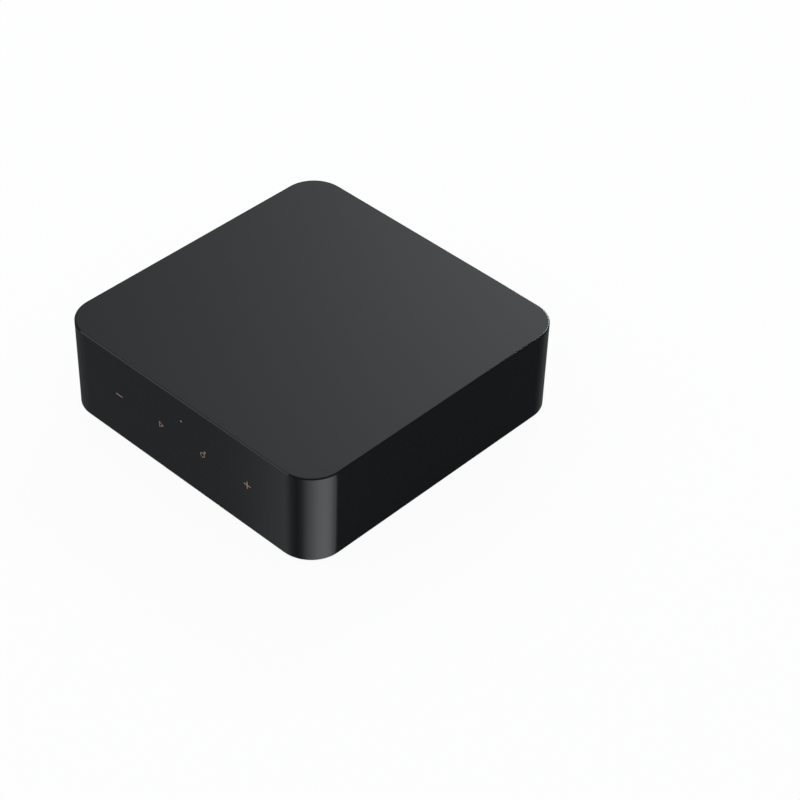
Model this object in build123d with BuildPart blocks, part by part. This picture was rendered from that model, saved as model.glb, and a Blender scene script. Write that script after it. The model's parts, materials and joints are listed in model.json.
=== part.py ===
from build123d import *
from math import atan, degrees, radians, sqrt, tan
import os

os.makedirs("parts", exist_ok=True)

# A network music streamer: a low square box with touch marks on its front and sockets on its back.
# Millimetres, +Z up. The front faces -Y. The origin is the middle of the face that the box rests on.

# Casing
overall_width = 140.0  # at the top edge, left to right and front to back
shell_height = 41.0
foot_lift = 1.0  # the casing's lower edge stands this far above the table
corner_share = 0.1036  # corner radius, of the overall width
least_corner = 1.0  # no inner corner of the casing is sharper than this
wall = 2.2
lower_inset = 0.25  # each wall leans in by this much at its lower edge
edge_chamfer = 0.4
edge_angle = 45.0  # degrees
seam = 0.1  # gap between casing pieces
snug_fit = 0.02  # round small pieces pressed into their seats
cut_over = 1.0  # overrun of every cut

# Top plate, the tape that holds it and the ledge that it lies on
plate_thickness = 1.8
rim_width = 0.6  # rim of the shell left standing round the plate
tape_thickness = 0.2
tape_margin = 0.6
ledge_width = 8.0
ledge_thickness = 1.6
locating_rib_depth = 2.6
locating_gap = 0.3
plate_rib_thickness = 1.0
plate_rib_depth = 1.6
plate_rib_pitch = 28.0
plate_rib_count = 3

# Bottom cover
cover_thickness = 2.0
cover_recess = 0.2  # the cover lies this far inside the shell's lower edge
lip_height = 2.5
lip_thickness = 1.2
vent_width = 2.0
vent_length = 18.0
vent_pitch = 5.0
vent_row_pitch = 28.0
vent_count = 8
vent_rows = 2

# Corner screws, from below, through the cover's towers into the shell's bosses
screw_edge = 12.4  # from the casing's corner surface, along the diagonal
screw_length = 10.0
screw_radius = 1.3
screw_head_radius = 2.3
screw_head_height = 1.8
screw_head_sink = 0.8
screw_gap = 0.2  # round a screw's head and shank where it passes through
thread_gap = 0.03  # round a screw's shank in its pilot hole
pilot_spare = 0.3  # pilot holes are this much deeper than their screws
drive_length = 2.4
drive_width = 0.6
drive_depth = 1.0
tower_radius = 3.8
tower_floor = 1.8
boss_radius = 3.2
boss_land = 2.0  # ledge left round a boss, towards the middle
boss_rib_thickness = 1.2
boss_rib_lift = 2.0

# Foot ring
foot_inset = 7.0
foot_width = 10.0
foot_groove = 0.8
foot_gap = 0.15
foot_chamfer = 0.3

# Rear panel, in a notch of the shell's rear wall, held by channels
panel_recess = 0.6
panel_flange_thickness = 1.2
panel_overlap = 2.0
panel_side_margin = 1.8
panel_corner = 3.0
channel_thickness = 1.2
channel_lip = 1.2

# Main board
board_thickness = 1.6
board_side_gap = 4.0
board_rear_gap = 0.8
board_corner = 2.0
board_clearance = 1.2
standoff_height = 3.8
standoff_radius = 3.0
board_screw_inset = 8.0
board_screw_length = 5.0
board_screw_radius = 1.25
board_screw_head_radius = 2.4
board_screw_head_height = 1.6

# Sockets along the back
socket_gap_share = 0.1  # round a socket in the panel, of the gap between neighbours

# Phono sockets
phono_block_share = 0.0857  # width of a double block, of the overall width
coax_block_share = 0.0821
phono_block_depth = 12.0
phono_low_share = 0.2  # lower axis, of the room above the board
phono_high_share = 0.66
phono_block_top = 5.8  # housing above its highest axis
phono_collar_radius = 4.6
phono_barrel_radius = 4.15
phono_barrel_bore = 3.65
phono_barrel_length = 7.6
phono_insulator_sink = 1.0
phono_contact_radius = 1.9
phono_contact_bore = 1.62
phono_contact_sink = 1.4
phono_contact_root = 4.0
phono_contact_slit = 0.3
phono_contact_slit_length = 5.0
phono_tip_chamfer = 0.3
phono_block_chamfer = 0.8

# Optical sockets and their sprung shutters
optical_width = 10.0
optical_depth = 14.4
optical_axis_height = 5.0  # above the board
optical_opening = 6.0
optical_opening_cut = 1.2
optical_lip = 0.9
optical_wall = 1.3
optical_cavity_depth = 9.4
optical_back_wall = 1.2
ferrule_radius = 1.3
shutter_thickness = 0.8
shutter_overlap = 0.35
shutter_side_gap = 0.2
shutter_end_gap = 0.3
shutter_front_gap = 0.1
shutter_knuckle_radius = 0.7
shutter_pin_radius = 0.4
shutter_pin_gap = 0.05
shutter_pin_seat_gap = 0.01
shutter_pin_sink = 0.3
hinge_rise = 1.2  # pin above the opening
spring_window = 3.4
spring_window_gap = 0.15
spring_radius = 0.8
spring_wire_radius = 0.125
spring_pitch = 0.75
spring_turns = 3
spring_leg = 3.0
spring_reach = 2.2
spring_bend = 0.4
spring_lift = 0.22  # upper leg above the coil's middle line
spring_seat_gap = 0.06
spring_rest_width = 0.9
spring_rest_length = 1.6
module_width = 6.8
module_gap = 0.1
lens_radius = 1.1

# Network socket
lan_width = 16.2
lan_height = 13.4
lan_depth = 21.3
lan_sheet = 0.3
lan_port_width = 11.9
lan_port_height = 6.9
lan_port_depth = 14.0
lan_port_floor = 3.6
lan_latch_width = 6.2
lan_latch_height = 1.9
lan_contact_pitch = 1.02
lan_contact_width = 0.4
lan_contact_thickness = 0.3
lan_contact_drop = 1.5
lan_contact_start = 2.5
lan_contact_foot = 1.0
lan_contact_reach = 7.0
lan_contact_count = 8
lan_light_width = 3.2
lan_light_height = 1.4
lan_light_depth = 1.0
lan_light_edge = 0.8
lan_housing_set_back = 0.2

# Power socket
usb_width = 8.94
usb_height = 3.26
usb_depth = 7.5
usb_sheet = 0.3
usb_set_back = 0.3
usb_tongue_width = 6.69
usb_tongue_thickness = 0.7
usb_tongue_set_back = 0.8
usb_base_depth = 1.8

# Trigger socket
trigger_width = 7.4
trigger_height = 6.6
trigger_depth = 12.0
trigger_bushing_radius = 3.0
trigger_bore_radius = 1.8
trigger_bore_depth = 12.5
trigger_tab_width = 1.4
trigger_tab_thickness = 0.3
trigger_tab_height = 4.0
trigger_tab_pitch = 4.0
trigger_tab_count = 2

# Touch marks and status light on the front
mark_height_share = 0.522  # of the shell's height, above its lower edge
mark_pitch_share = 0.1716  # of the overall width
mark_size = 3.7
mark_stroke = 0.45
outline_stroke = 0.3
mark_depth = 0.15
play_radius = 1.75
note_head_radius = 1.2
note_head_aside = 0.5
note_head_drop = 0.6
note_stem_height = 2.5
note_flag_reach = 0.7
note_flag_drop = 0.3
note_flag_stroke = 0.6
light_height_share = 0.745  # of the shell's height, above its lower edge
light_radius = 0.45
light_flange_radius = 1.2
light_flange_thickness = 0.6

# Touch board behind the front wall
touch_tape_thickness = 0.3
touch_board_share = 0.657  # width, of the overall width
touch_board_thickness = 1.0
touch_board_lift = 4.8  # lower edge above the main board
touch_board_top_gap = 3.0  # upper edge below the ledge
touch_board_corner = 1.0
touch_window_radius = 0.8
status_light_width = 2.0
status_light_height = 1.25
status_light_depth = 0.8
touch_chip_size = 4.0
touch_chip_thickness = 0.8
touch_chip_aside = 24.0

# Flat cable between the two boards, and its sockets
cable_width = 8.0
cable_thickness = 0.3
cable_bend = 2.0
cable_socket_width = 10.0
cable_socket_height = 2.0
cable_socket_length = 4.5
cable_socket_edge = 1.5

# Processor with its pad and heat sink
processor_size = 14.0
processor_thickness = 1.2
processor_shares = (0.06, 0.42)
pad_size = 13.0
pad_thickness = 0.8
sink_size = 32.0
sink_base = 2.0
fin_height = 7.0
fin_thickness = 1.2
fin_count = 8

# Memory chips
memory_width = 8.0
memory_length = 10.0
memory_thickness = 1.0
memory_shares = ((0.50, 0.34), (0.50, 0.52))

# Converter chips for the sound
converter_size = 7.0
converter_thickness = 1.0
converter_shares = ((-0.50, 0.66), (-0.72, 0.46))

# Network transformer
transformer_width = 12.7
transformer_length = 7.0
transformer_height = 5.5
transformer_shares = (0.35, 0.76)

# Electrolytic capacitors
capacitor_radius = 3.15
capacitor_height = 7.7
capacitor_groove_depth = 0.25
capacitor_groove_width = 0.5
capacitor_groove_share = 0.2
capacitor_base = 6.6
capacitor_base_height = 0.8
capacitor_shares = ((-0.30, 0.72), (-0.16, 0.72), (-0.30, 0.84), (-0.72, 0.66), (0.74, 0.72), (0.74, 0.58))

# Inductors
inductor_size = 7.0
inductor_height = 4.0
inductor_corner = 1.6
inductor_shares = ((0.88, 0.58), (0.88, 0.44))

# Crystals
crystal_width = 5.0
crystal_length = 3.2
crystal_height = 1.1
crystal_shares = ((-0.22, 0.30), (-0.50, 0.50))

# Small chip resistors and capacitors
chip_length = 2.0
chip_width = 1.2
chip_height = 0.6
chip_pitch_x = 4.0
chip_pitch_y = 3.0
chip_columns = 3
chip_rows = 4
chip_field_shares = ((-0.52, 0.31), (-0.88, 0.56), (0.74, 0.28))

# Radio module, its shield and its aerials
radio_width = 22.0
radio_length = 18.0
radio_board_thickness = 0.8
radio_shares = (-0.56, 0.14)
shield_margin = 1.0
shield_strip = 4.0  # strip of the module left free for the plugs
shield_height = 2.2
shield_sheet = 0.2
shield_corner = 1.0
radio_chip_size = 10.0
radio_chip_thickness = 1.2
plug_radius = 1.3
plug_height = 1.4
plug_pitch = 12.0
aerial_length = 38.0
aerial_height = 9.0
aerial_thickness = 0.3
aerial_corner = 1.0
aerial_forward = 16.0  # middle of the aerial in front of the casing's middle
aerial_level_share = 0.6  # of the shell's height
lead_radius = 0.56
lead_start_gap = 0.25
lead_feed = 12.0  # along the aerial, from its front end
# Leads, from plug to aerial: shares of the way along X, of that way towards the back, and of the way up
left_lead_shares = ((0, 0, 0), (0.45, 0, 0.10), (0.86, 0.10, 0.46), (0.985, 0.52, 0.93), (1, 1, 1))
right_lead_shares = (
    (0, 0, 0),
    (0.20, -0.28, 0.14),
    (0.42, -0.34, 0.08),
    (0.66, -0.20, 0.15),
    (0.86, 0.02, 0.20),
    (0.965, 0.22, 0.54),
    (0.995, 0.58, 0.93),
    (1, 1, 1),
)
lead_bend_share = 0.45

# Levels and planes that follow from those sizes
half_width = overall_width / 2
corner_radius = corner_share * overall_width
inner_face = half_width - wall
shell_bottom = foot_lift
shell_top = shell_bottom + shell_height
plate_bottom = shell_top - plate_thickness
ledge_top = plate_bottom - tape_thickness
ledge_bottom = ledge_top - ledge_thickness
cover_bottom = shell_bottom + cover_recess
cover_top = cover_bottom + cover_thickness
groove_top = cover_bottom + foot_groove
head_seat = groove_top + screw_head_sink + screw_head_height
tower_top = head_seat + tower_floor
board_bottom = cover_top + standoff_height
board_top = board_bottom + board_thickness
screw_place = half_width - corner_radius + (corner_radius - screw_edge) / sqrt(2)
panel_face = half_width - panel_recess
panel_back = inner_face - panel_flange_thickness
socket_front = panel_back - seam
mark_level = shell_bottom + mark_height_share * shell_height
light_level = shell_bottom + light_height_share * shell_height
mark_pitch = mark_pitch_share * overall_width
opening_inset = wall + ledge_width
opening_width = overall_width - 2 * opening_inset
boss_reach = screw_edge + boss_radius + boss_land
opening_radius = corner_radius + (boss_reach - sqrt(2) * opening_inset) / (sqrt(2) - 1)

# Centre of each socket along X: the row fills the rear wall's flat part, with equal gaps between neighbours
notch_half = half_width - corner_radius - panel_overlap
notch_top = ledge_bottom - panel_overlap - seam
row_widths = {
    "power": usb_width,
    "trigger": trigger_width + 2 * trigger_tab_thickness,
    "lan": lan_width,
    "optical_in": optical_width,
    "optical_out": optical_width,
    "coax": coax_block_share * overall_width,
    "line_out": phono_block_share * overall_width,
    "line_in": phono_block_share * overall_width,
}
row_edge = notch_half - panel_side_margin
row_gap = (2 * row_edge - sum(row_widths.values())) / (len(row_widths) - 1)
socket_gap = socket_gap_share * row_gap
row_x = {}
for socket_name, socket_width in row_widths.items():
    row_x[socket_name] = row_edge - socket_width / 2
    row_edge -= socket_width + row_gap

# Board outline
board_half = inner_face - board_side_gap
board_front = -(screw_place - tower_radius - board_clearance)
board_rear = panel_back - board_rear_gap
board_neck = screw_place - tower_radius - board_clearance
board_length = board_rear - board_front
standoff_x = board_half - board_screw_inset
standoff_ys = (board_front + board_screw_inset, board_neck - board_screw_inset)
standoff_places = [(side * standoff_x, y) for side in (-1, 1) for y in standoff_ys]

# Socket axes above the table
phono_low = board_top + phono_low_share * (ledge_bottom - board_top)
phono_high = board_top + phono_high_share * (ledge_bottom - board_top)
phono_places = [
    (row_x["line_in"], phono_low),
    (row_x["line_in"], phono_high),
    (row_x["line_out"], phono_low),
    (row_x["line_out"], phono_high),
    (row_x["coax"], phono_low),
]
optical_axis = board_top + optical_axis_height
hinge_level = optical_axis + optical_opening / 2 + hinge_rise
coil_outer = spring_radius + spring_wire_radius
spring_rise = spring_radius + spring_lift
optical_ceiling = hinge_level + spring_rise + spring_wire_radius + spring_seat_gap
optical_top = optical_ceiling + optical_wall
shutter_low = optical_axis - optical_opening / 2 - shutter_overlap
optical_floor = shutter_low - shutter_end_gap
shutter_width = optical_opening + 2 * shutter_overlap
optical_cavity_front = panel_face - optical_lip
optical_cavity_back = optical_cavity_front - optical_cavity_depth
module_front = optical_cavity_back - optical_back_wall
hinge_y = optical_cavity_front - shutter_front_gap - coil_outer
power_axis = board_top + usb_height / 2
trigger_axis = board_top + trigger_height / 2


def across(y):
    """The upright plane at y, facing the front: its own Y is the object's Z."""
    return Plane.XZ.offset(-y)


def along(x):
    """The upright plane at x, facing +X: its own X and Y are the object's Y and Z."""
    return Plane.YZ.offset(x)


def outline(inset, mode=Mode.ADD):
    """The casing's outline seen from above, drawn in by inset."""
    width = overall_width - 2 * inset
    RectangleRounded(width, width, max(corner_radius - inset, least_corner), mode=mode)


def opening(growth, mode=Mode.ADD):
    """The opening inside the ledge seen from above, made larger all round by growth."""
    width = opening_width + 2 * growth
    RectangleRounded(width, width, opening_radius + growth, mode=mode)


def on_board(shares):
    """A place on the board, from shares of its half width and of its length from the front."""
    return (shares[0] * board_half, board_front + shares[1] * board_length)


def draw_marks():
    """Minus, play, note and plus in plain strokes, left to right on the front."""
    note_x = mark_pitch / 2 - note_head_aside
    note_z = mark_level - note_head_drop
    stem_x = note_x + note_head_radius - outline_stroke
    stem_top = note_z + note_stem_height
    flag_x = stem_x + outline_stroke + note_flag_reach
    flag_z = stem_top - note_flag_drop
    with Locations((-3 * mark_pitch / 2, mark_level)):
        Rectangle(mark_size, mark_stroke)
    with Locations((-mark_pitch / 2, mark_level)):
        RegularPolygon(radius=play_radius, side_count=3)
        RegularPolygon(radius=play_radius - 2 * outline_stroke, side_count=3, mode=Mode.SUBTRACT)
    with Locations((note_x, note_z)):
        Circle(note_head_radius)
        Circle(note_head_radius - outline_stroke, mode=Mode.SUBTRACT)
    with Locations((stem_x + outline_stroke / 2, note_z + note_stem_height / 2)):
        Rectangle(outline_stroke, note_stem_height)
    Polygon(
        (stem_x, stem_top - note_flag_stroke),
        (flag_x, flag_z - note_flag_stroke),
        (flag_x, flag_z),
        (stem_x, stem_top),
        align=None,
    )
    with Locations((3 * mark_pitch / 2, mark_level)):
        Rectangle(mark_size, mark_stroke)
        Rectangle(mark_stroke, mark_size)


# The casing's outer form: four walls that lean in a little downwards, with a chamfered upper edge
side_height = shell_height - edge_chamfer

with BuildPart() as envelope:
    with BuildSketch(Plane.XY.offset(shell_top)):
        outline(edge_chamfer)
    extrude(amount=-edge_chamfer, taper=-edge_angle)
    with BuildSketch(Plane.XY.offset(shell_top - edge_chamfer)):
        outline(0)
    extrude(amount=-side_height, taper=degrees(atan(lower_inset / side_height)))

# Side shell: the four walls in one moulding, with the ledge under the top plate and the screw bosses
channel_inner = notch_half + panel_overlap + seam
channel_front = panel_back - seam - channel_thickness
channel_depth = inner_face - channel_front
boss_rib_length = inner_face - screw_place
boss_rib_middle = (inner_face + screw_place) / 2
mark_bed = half_width - lower_inset - mark_depth

with BuildPart() as side_shell:
    add(envelope.part)
    with BuildSketch(Plane.XY.offset(shell_bottom)):
        outline(wall)
    extrude(amount=ledge_bottom - shell_bottom, mode=Mode.SUBTRACT)
    with BuildSketch(Plane.XY.offset(ledge_bottom)):
        opening(0)
    extrude(amount=ledge_thickness, mode=Mode.SUBTRACT)
    with BuildSketch(Plane.XY.offset(ledge_top)):
        outline(rim_width)
    extrude(amount=shell_top - ledge_top, mode=Mode.SUBTRACT)
    # Screw bosses, with ribs to the side walls and, at the front, to the front wall
    with BuildSketch(Plane.XY.offset(tower_top)):
        with GridLocations(2 * screw_place, 2 * screw_place, 2, 2):
            Circle(boss_radius)
    extrude(amount=ledge_bottom - tower_top)
    with BuildSketch(Plane.XY.offset(tower_top + boss_rib_lift)):
        with GridLocations(2 * boss_rib_middle, 2 * screw_place, 2, 2):
            Rectangle(boss_rib_length, boss_rib_thickness)
        with Locations((-screw_place, -boss_rib_middle), (screw_place, -boss_rib_middle)):
            Rectangle(boss_rib_thickness, boss_rib_length)
        outline(wall / 2, mode=Mode.INTERSECT)
    extrude(amount=ledge_bottom - tower_top - boss_rib_lift)
    with Locations(Plane(origin=(0, 0, tower_top), z_dir=(0, 0, -1))):
        with GridLocations(2 * screw_place, 2 * screw_place, 2, 2):
            Hole(screw_radius + thread_gap, depth=screw_length - tower_floor + pilot_spare)
    # Channels that the rear panel's flange slides into
    with BuildSketch(Plane.XY.offset(cover_top + locating_gap)):
        with Locations((channel_inner + channel_thickness / 2, channel_front + channel_depth / 2)):
            Rectangle(channel_thickness, channel_depth)
        with Locations((channel_inner - channel_lip / 2, channel_front + channel_thickness / 2)):
            Rectangle(channel_lip, channel_thickness)
        mirror(about=Plane.YZ)
    extrude(amount=ledge_bottom - cover_top - locating_gap)
    # Notch for the rear panel
    with BuildSketch(across(half_width + cut_over)):
        with Locations((0, (shell_bottom - cut_over + notch_top) / 2)):
            Rectangle(2 * notch_half, notch_top - shell_bottom + cut_over)
        fillet(vertices().group_by(Axis.Y)[-1], panel_corner)
    extrude(amount=wall + cut_over, mode=Mode.SUBTRACT)
    # Beds of the marks, and the hole for the light
    with BuildSketch(across(-mark_bed)):
        draw_marks()
    extrude(amount=half_width - mark_bed + cut_over, mode=Mode.SUBTRACT)
    with BuildSketch(across(-inner_face)):
        with Locations((0, light_level)):
            Circle(light_radius + snug_fit)
    extrude(amount=wall + cut_over, mode=Mode.SUBTRACT)
    with BuildSketch(across(-inner_face)):
        with Locations((0, light_level)):
            Circle(light_flange_radius + snug_fit)
    extrude(amount=light_flange_thickness, mode=Mode.SUBTRACT)
side_shell.part.label = "side_shell"
export_step(side_shell.part, "parts/side_shell.step")

# Marks of the touch keys: paint that fills their beds in the front wall
with BuildPart() as front_marks:
    with BuildSketch(across(-mark_bed)):
        draw_marks()
    extrude(amount=half_width - mark_bed + cut_over)
    add(envelope.part, mode=Mode.INTERSECT)
front_marks.part.label = "front_marks"
export_step(front_marks.part, "parts/front_marks.step")

# Light lens: a clear pin through the front wall, with a flange behind it
with BuildPart() as light_lens:
    with BuildSketch(across(-inner_face)):
        with Locations((0, light_level)):
            Circle(light_flange_radius)
    extrude(amount=light_flange_thickness)
    with BuildSketch(across(-inner_face)):
        with Locations((0, light_level)):
            Circle(light_radius)
    extrude(amount=wall + cut_over)
    add(envelope.part, mode=Mode.INTERSECT)
light_lens.part.label = "light_lens"
export_step(light_lens.part, "parts/light_lens.step")

# Top plate, with a locating rib inside the ledge and stiffening ribs across
with BuildPart() as top_plate:
    with BuildSketch(Plane.XY.offset(plate_bottom)):
        outline(rim_width + seam)
    extrude(amount=plate_thickness)
    with BuildSketch(Plane.XY.offset(plate_bottom)):
        opening(-locating_gap)
        opening(-locating_gap - plate_rib_thickness, mode=Mode.SUBTRACT)
    extrude(amount=-locating_rib_depth)
    with BuildSketch(Plane.XY.offset(plate_bottom)):
        with GridLocations(plate_rib_pitch, plate_rib_pitch, plate_rib_count, 1):
            Rectangle(plate_rib_thickness, opening_width - 2 * locating_gap - plate_rib_thickness)
        with GridLocations(plate_rib_pitch, plate_rib_pitch, 1, plate_rib_count):
            Rectangle(opening_width - 2 * locating_gap - plate_rib_thickness, plate_rib_thickness)
    extrude(amount=-plate_rib_depth)
top_plate.part.label = "top_plate"
export_step(top_plate.part, "parts/top_plate.step")

# Adhesive tape between the ledge and the top plate
with BuildPart() as top_tape:
    with BuildSketch(Plane.XY.offset(ledge_top)):
        outline(rim_width + tape_margin)
        opening(tape_margin, mode=Mode.SUBTRACT)
    extrude(amount=tape_thickness)
top_tape.part.label = "top_tape"
export_step(top_tape.part, "parts/top_tape.step")

# Bottom cover, with its lip, screw towers, board standoffs, foot groove and vents
with BuildPart() as bottom_cover:
    with BuildSketch(Plane.XY.offset(cover_bottom)):
        outline(wall + seam)
    extrude(amount=cover_thickness)
    with BuildSketch(Plane.XY.offset(cover_top)):
        outline(wall + seam)
        outline(wall + seam + lip_thickness, mode=Mode.SUBTRACT)
        with Locations((0, inner_face)):
            Rectangle(
                2 * (channel_inner + channel_thickness + locating_gap),
                2 * (channel_depth + locating_gap),
                mode=Mode.SUBTRACT,
            )
    extrude(amount=lip_height)
    with BuildSketch(Plane.XY.offset(cover_top)):
        with GridLocations(2 * screw_place, 2 * screw_place, 2, 2):
            Circle(tower_radius)
    extrude(amount=tower_top - cover_top)
    with BuildSketch(Plane.XY.offset(cover_top)):
        with Locations(*standoff_places):
            Circle(standoff_radius)
    extrude(amount=standoff_height)
    with BuildSketch(Plane.XY.offset(cover_bottom)):
        outline(foot_inset - foot_gap)
        outline(foot_inset + foot_width + foot_gap, mode=Mode.SUBTRACT)
    extrude(amount=foot_groove, mode=Mode.SUBTRACT)
    with BuildSketch(Plane.XY.offset(cover_bottom)):
        with GridLocations(vent_pitch, vent_row_pitch, vent_count, vent_rows):
            SlotOverall(vent_length, vent_width, rotation=90)
    extrude(amount=cover_thickness, mode=Mode.SUBTRACT)
    with Locations(Plane(origin=(0, 0, cover_bottom), z_dir=(0, 0, -1))):
        with GridLocations(2 * screw_place, 2 * screw_place, 2, 2):
            CounterBoreHole(
                radius=screw_radius + screw_gap,
                counter_bore_radius=screw_head_radius + screw_gap,
                counter_bore_depth=head_seat - cover_bottom,
            )
    with Locations(Plane.XY.offset(board_bottom)):
        with Locations(*standoff_places):
            Hole(board_screw_radius + thread_gap, depth=board_screw_length - board_thickness + pilot_spare)
bottom_cover.part.label = "bottom_cover"
export_step(bottom_cover.part, "parts/bottom_cover.step")

# Foot ring, glued into the cover's groove over the screw heads
with BuildPart() as foot_ring:
    with BuildSketch():
        outline(foot_inset)
        outline(foot_inset + foot_width, mode=Mode.SUBTRACT)
    extrude(amount=groove_top)
    chamfer(foot_ring.faces().sort_by(Axis.Z)[0].edges(), length=foot_chamfer)
foot_ring.part.label = "foot_ring"
export_step(foot_ring.part, "parts/foot_ring.step")

# Four corner screws
with BuildPart() as cover_screws:
    with BuildSketch(Plane.XY.offset(head_seat)):
        with GridLocations(2 * screw_place, 2 * screw_place, 2, 2):
            Circle(screw_head_radius)
    extrude(amount=-screw_head_height)
    with BuildSketch(Plane.XY.offset(head_seat)):
        with GridLocations(2 * screw_place, 2 * screw_place, 2, 2):
            Circle(screw_radius)
    extrude(amount=screw_length)
    chamfer(cover_screws.edges().group_by(Axis.Z)[-1], length=screw_radius / 2)
    with BuildSketch(Plane.XY.offset(head_seat - screw_head_height)):
        with GridLocations(2 * screw_place, 2 * screw_place, 2, 2):
            Rectangle(drive_length, drive_width)
            Rectangle(drive_width, drive_length)
    extrude(amount=drive_depth, mode=Mode.SUBTRACT)
cover_screws.part.label = "cover_screws"
export_step(cover_screws.part, "parts/cover_screws.step")

# Main board, on the cover's standoffs, with a neck between the rear bosses
with BuildPart() as main_board:
    with BuildSketch(Plane.XY.offset(board_bottom)):
        with Locations((0, (board_front + board_neck) / 2)):
            Rectangle(2 * board_half, board_neck - board_front)
        with Locations((0, (board_front + board_rear) / 2)):
            Rectangle(2 * board_neck, board_length)
        fillet(vertices(), board_corner)
    extrude(amount=board_thickness)
    with Locations(Plane.XY.offset(board_top)):
        with Locations(*standoff_places):
            Hole(board_screw_radius + screw_gap, depth=board_thickness)
main_board.part.label = "main_board"
export_step(main_board.part, "parts/main_board.step")

# Four board screws
with BuildPart() as board_screws:
    with BuildSketch(Plane.XY.offset(board_top)):
        with Locations(*standoff_places):
            Circle(board_screw_head_radius)
    extrude(amount=board_screw_head_height)
    with BuildSketch(Plane.XY.offset(board_top)):
        with Locations(*standoff_places):
            Circle(board_screw_radius)
    extrude(amount=-board_screw_length)
    with BuildSketch(Plane.XY.offset(board_top + board_screw_head_height)):
        with Locations(*standoff_places):
            Rectangle(drive_length, drive_width)
            Rectangle(drive_width, drive_length)
    extrude(amount=-drive_depth, mode=Mode.SUBTRACT)
board_screws.part.label = "board_screws"
export_step(board_screws.part, "parts/board_screws.step")

# Rear panel: a raised field that fills the notch, on a flange held by the channels
panel_top = notch_top - seam
flange_bottom = cover_top + locating_gap
flange_top = notch_top + panel_overlap
optical_middle = (board_top + optical_top) / 2

with BuildPart() as rear_panel:
    with BuildSketch(across(panel_face)):
        with Locations((0, (shell_bottom + panel_top) / 2)):
            Rectangle(2 * (notch_half - seam), panel_top - shell_bottom)
        fillet(vertices().group_by(Axis.Y)[-1], panel_corner - seam)
    extrude(amount=wall - panel_recess)
    with BuildSketch(across(inner_face)):
        with Locations((0, (flange_bottom + flange_top) / 2)):
            Rectangle(2 * (notch_half + panel_overlap), flange_top - flange_bottom)
    extrude(amount=panel_flange_thickness)
    with BuildSketch(across(panel_face + cut_over)):
        with Locations(*phono_places):
            Circle(phono_collar_radius + seam)
        with Locations((row_x["trigger"], trigger_axis)):
            Circle(trigger_bushing_radius + seam)
        with Locations((row_x["power"], power_axis)):
            SlotOverall(usb_width + 2 * socket_gap, usb_height + 2 * socket_gap)
        with Locations((row_x["lan"], board_top + lan_height / 2)):
            Rectangle(lan_width + 2 * socket_gap, lan_height + 2 * socket_gap)
        with Locations((row_x["optical_in"], optical_middle), (row_x["optical_out"], optical_middle)):
            Rectangle(optical_width + 2 * socket_gap, optical_top - board_top + 2 * socket_gap)
    extrude(amount=panel_face - panel_back + 2 * cut_over, mode=Mode.SUBTRACT)
rear_panel.part.label = "rear_panel"
export_step(rear_panel.part, "parts/rear_panel.step")

# Blocks of the phono sockets: two stand one above the other in each of the first two, and one in the last
for socket_name, axis_top in (("line_in", phono_high), ("line_out", phono_high), ("coax", phono_low)):
    block_top = axis_top + phono_block_top
    axes = [place for place in phono_places if place[0] == row_x[socket_name]]
    with BuildPart() as phono_block:
        with BuildSketch(across(socket_front)):
            with Locations((row_x[socket_name], (board_top + block_top) / 2)):
                Rectangle(row_widths[socket_name], block_top - board_top)
        extrude(amount=phono_block_depth)
        chamfer(phono_block.edges().filter_by(Axis.Y).group_by(Axis.Z)[-1], length=phono_block_chamfer)
        with BuildSketch(across(socket_front)):
            with Locations(*axes):
                Circle(phono_contact_radius + snug_fit)
        extrude(amount=phono_contact_root + snug_fit, mode=Mode.SUBTRACT)
    phono_block.part.label = f"{socket_name}_block"
    export_step(phono_block.part, f"parts/{socket_name}_block.step")

# Barrels of the five phono sockets, each with a collar that fills the panel's hole
phono_tip = panel_face + phono_barrel_length

with BuildPart() as phono_barrels:
    with BuildSketch(across(socket_front)):
        with Locations(*phono_places):
            Circle(phono_collar_radius)
    extrude(amount=socket_front - panel_face)
    with BuildSketch(across(panel_face)):
        with Locations(*phono_places):
            Circle(phono_barrel_radius)
    extrude(amount=panel_face - phono_tip)
    chamfer(phono_barrels.edges().group_by(Axis.Y)[-1], length=phono_tip_chamfer)
    with BuildSketch(across(socket_front)):
        with Locations(*phono_places):
            Circle(phono_barrel_bore)
    extrude(amount=socket_front - phono_tip - cut_over, mode=Mode.SUBTRACT)
phono_barrels.part.label = "phono_barrels"
export_step(phono_barrels.part, "parts/phono_barrels.step")

# Insulators inside the barrels: one colour for the left sockets, one for the right, one for the digital one
insulator_places = {
    "left_insulators": [(row_x["line_in"], phono_high), (row_x["line_out"], phono_high)],
    "right_insulators": [(row_x["line_in"], phono_low), (row_x["line_out"], phono_low)],
    "coax_insulator": [(row_x["coax"], phono_low)],
}
for insulator_name, places in insulator_places.items():
    with BuildPart() as insulators:
        with BuildSketch(across(socket_front)):
            with Locations(*places):
                Circle(phono_barrel_bore - snug_fit)
                Circle(phono_contact_radius + snug_fit, mode=Mode.SUBTRACT)
        extrude(amount=socket_front - phono_tip + phono_insulator_sink)
    insulators.part.label = insulator_name
    export_step(insulators.part, f"parts/{insulator_name}.step")

# Centre contacts: slit tubes that grip the plug's pin
contact_tip = phono_tip - phono_contact_sink

with BuildPart() as phono_contacts:
    with BuildSketch(across(socket_front - phono_contact_root)):
        with Locations(*phono_places):
            Circle(phono_contact_radius)
            Circle(phono_contact_bore, mode=Mode.SUBTRACT)
    extrude(amount=socket_front - phono_contact_root - contact_tip)
    with BuildSketch(across(contact_tip - phono_contact_slit_length)):
        with Locations(*phono_places):
            Rectangle(2 * phono_contact_radius + cut_over, phono_contact_slit)
    extrude(amount=-phono_contact_slit_length, mode=Mode.SUBTRACT)
phono_contacts.part.label = "phono_contacts"
export_step(phono_contacts.part, "parts/phono_contacts.step")

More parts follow.
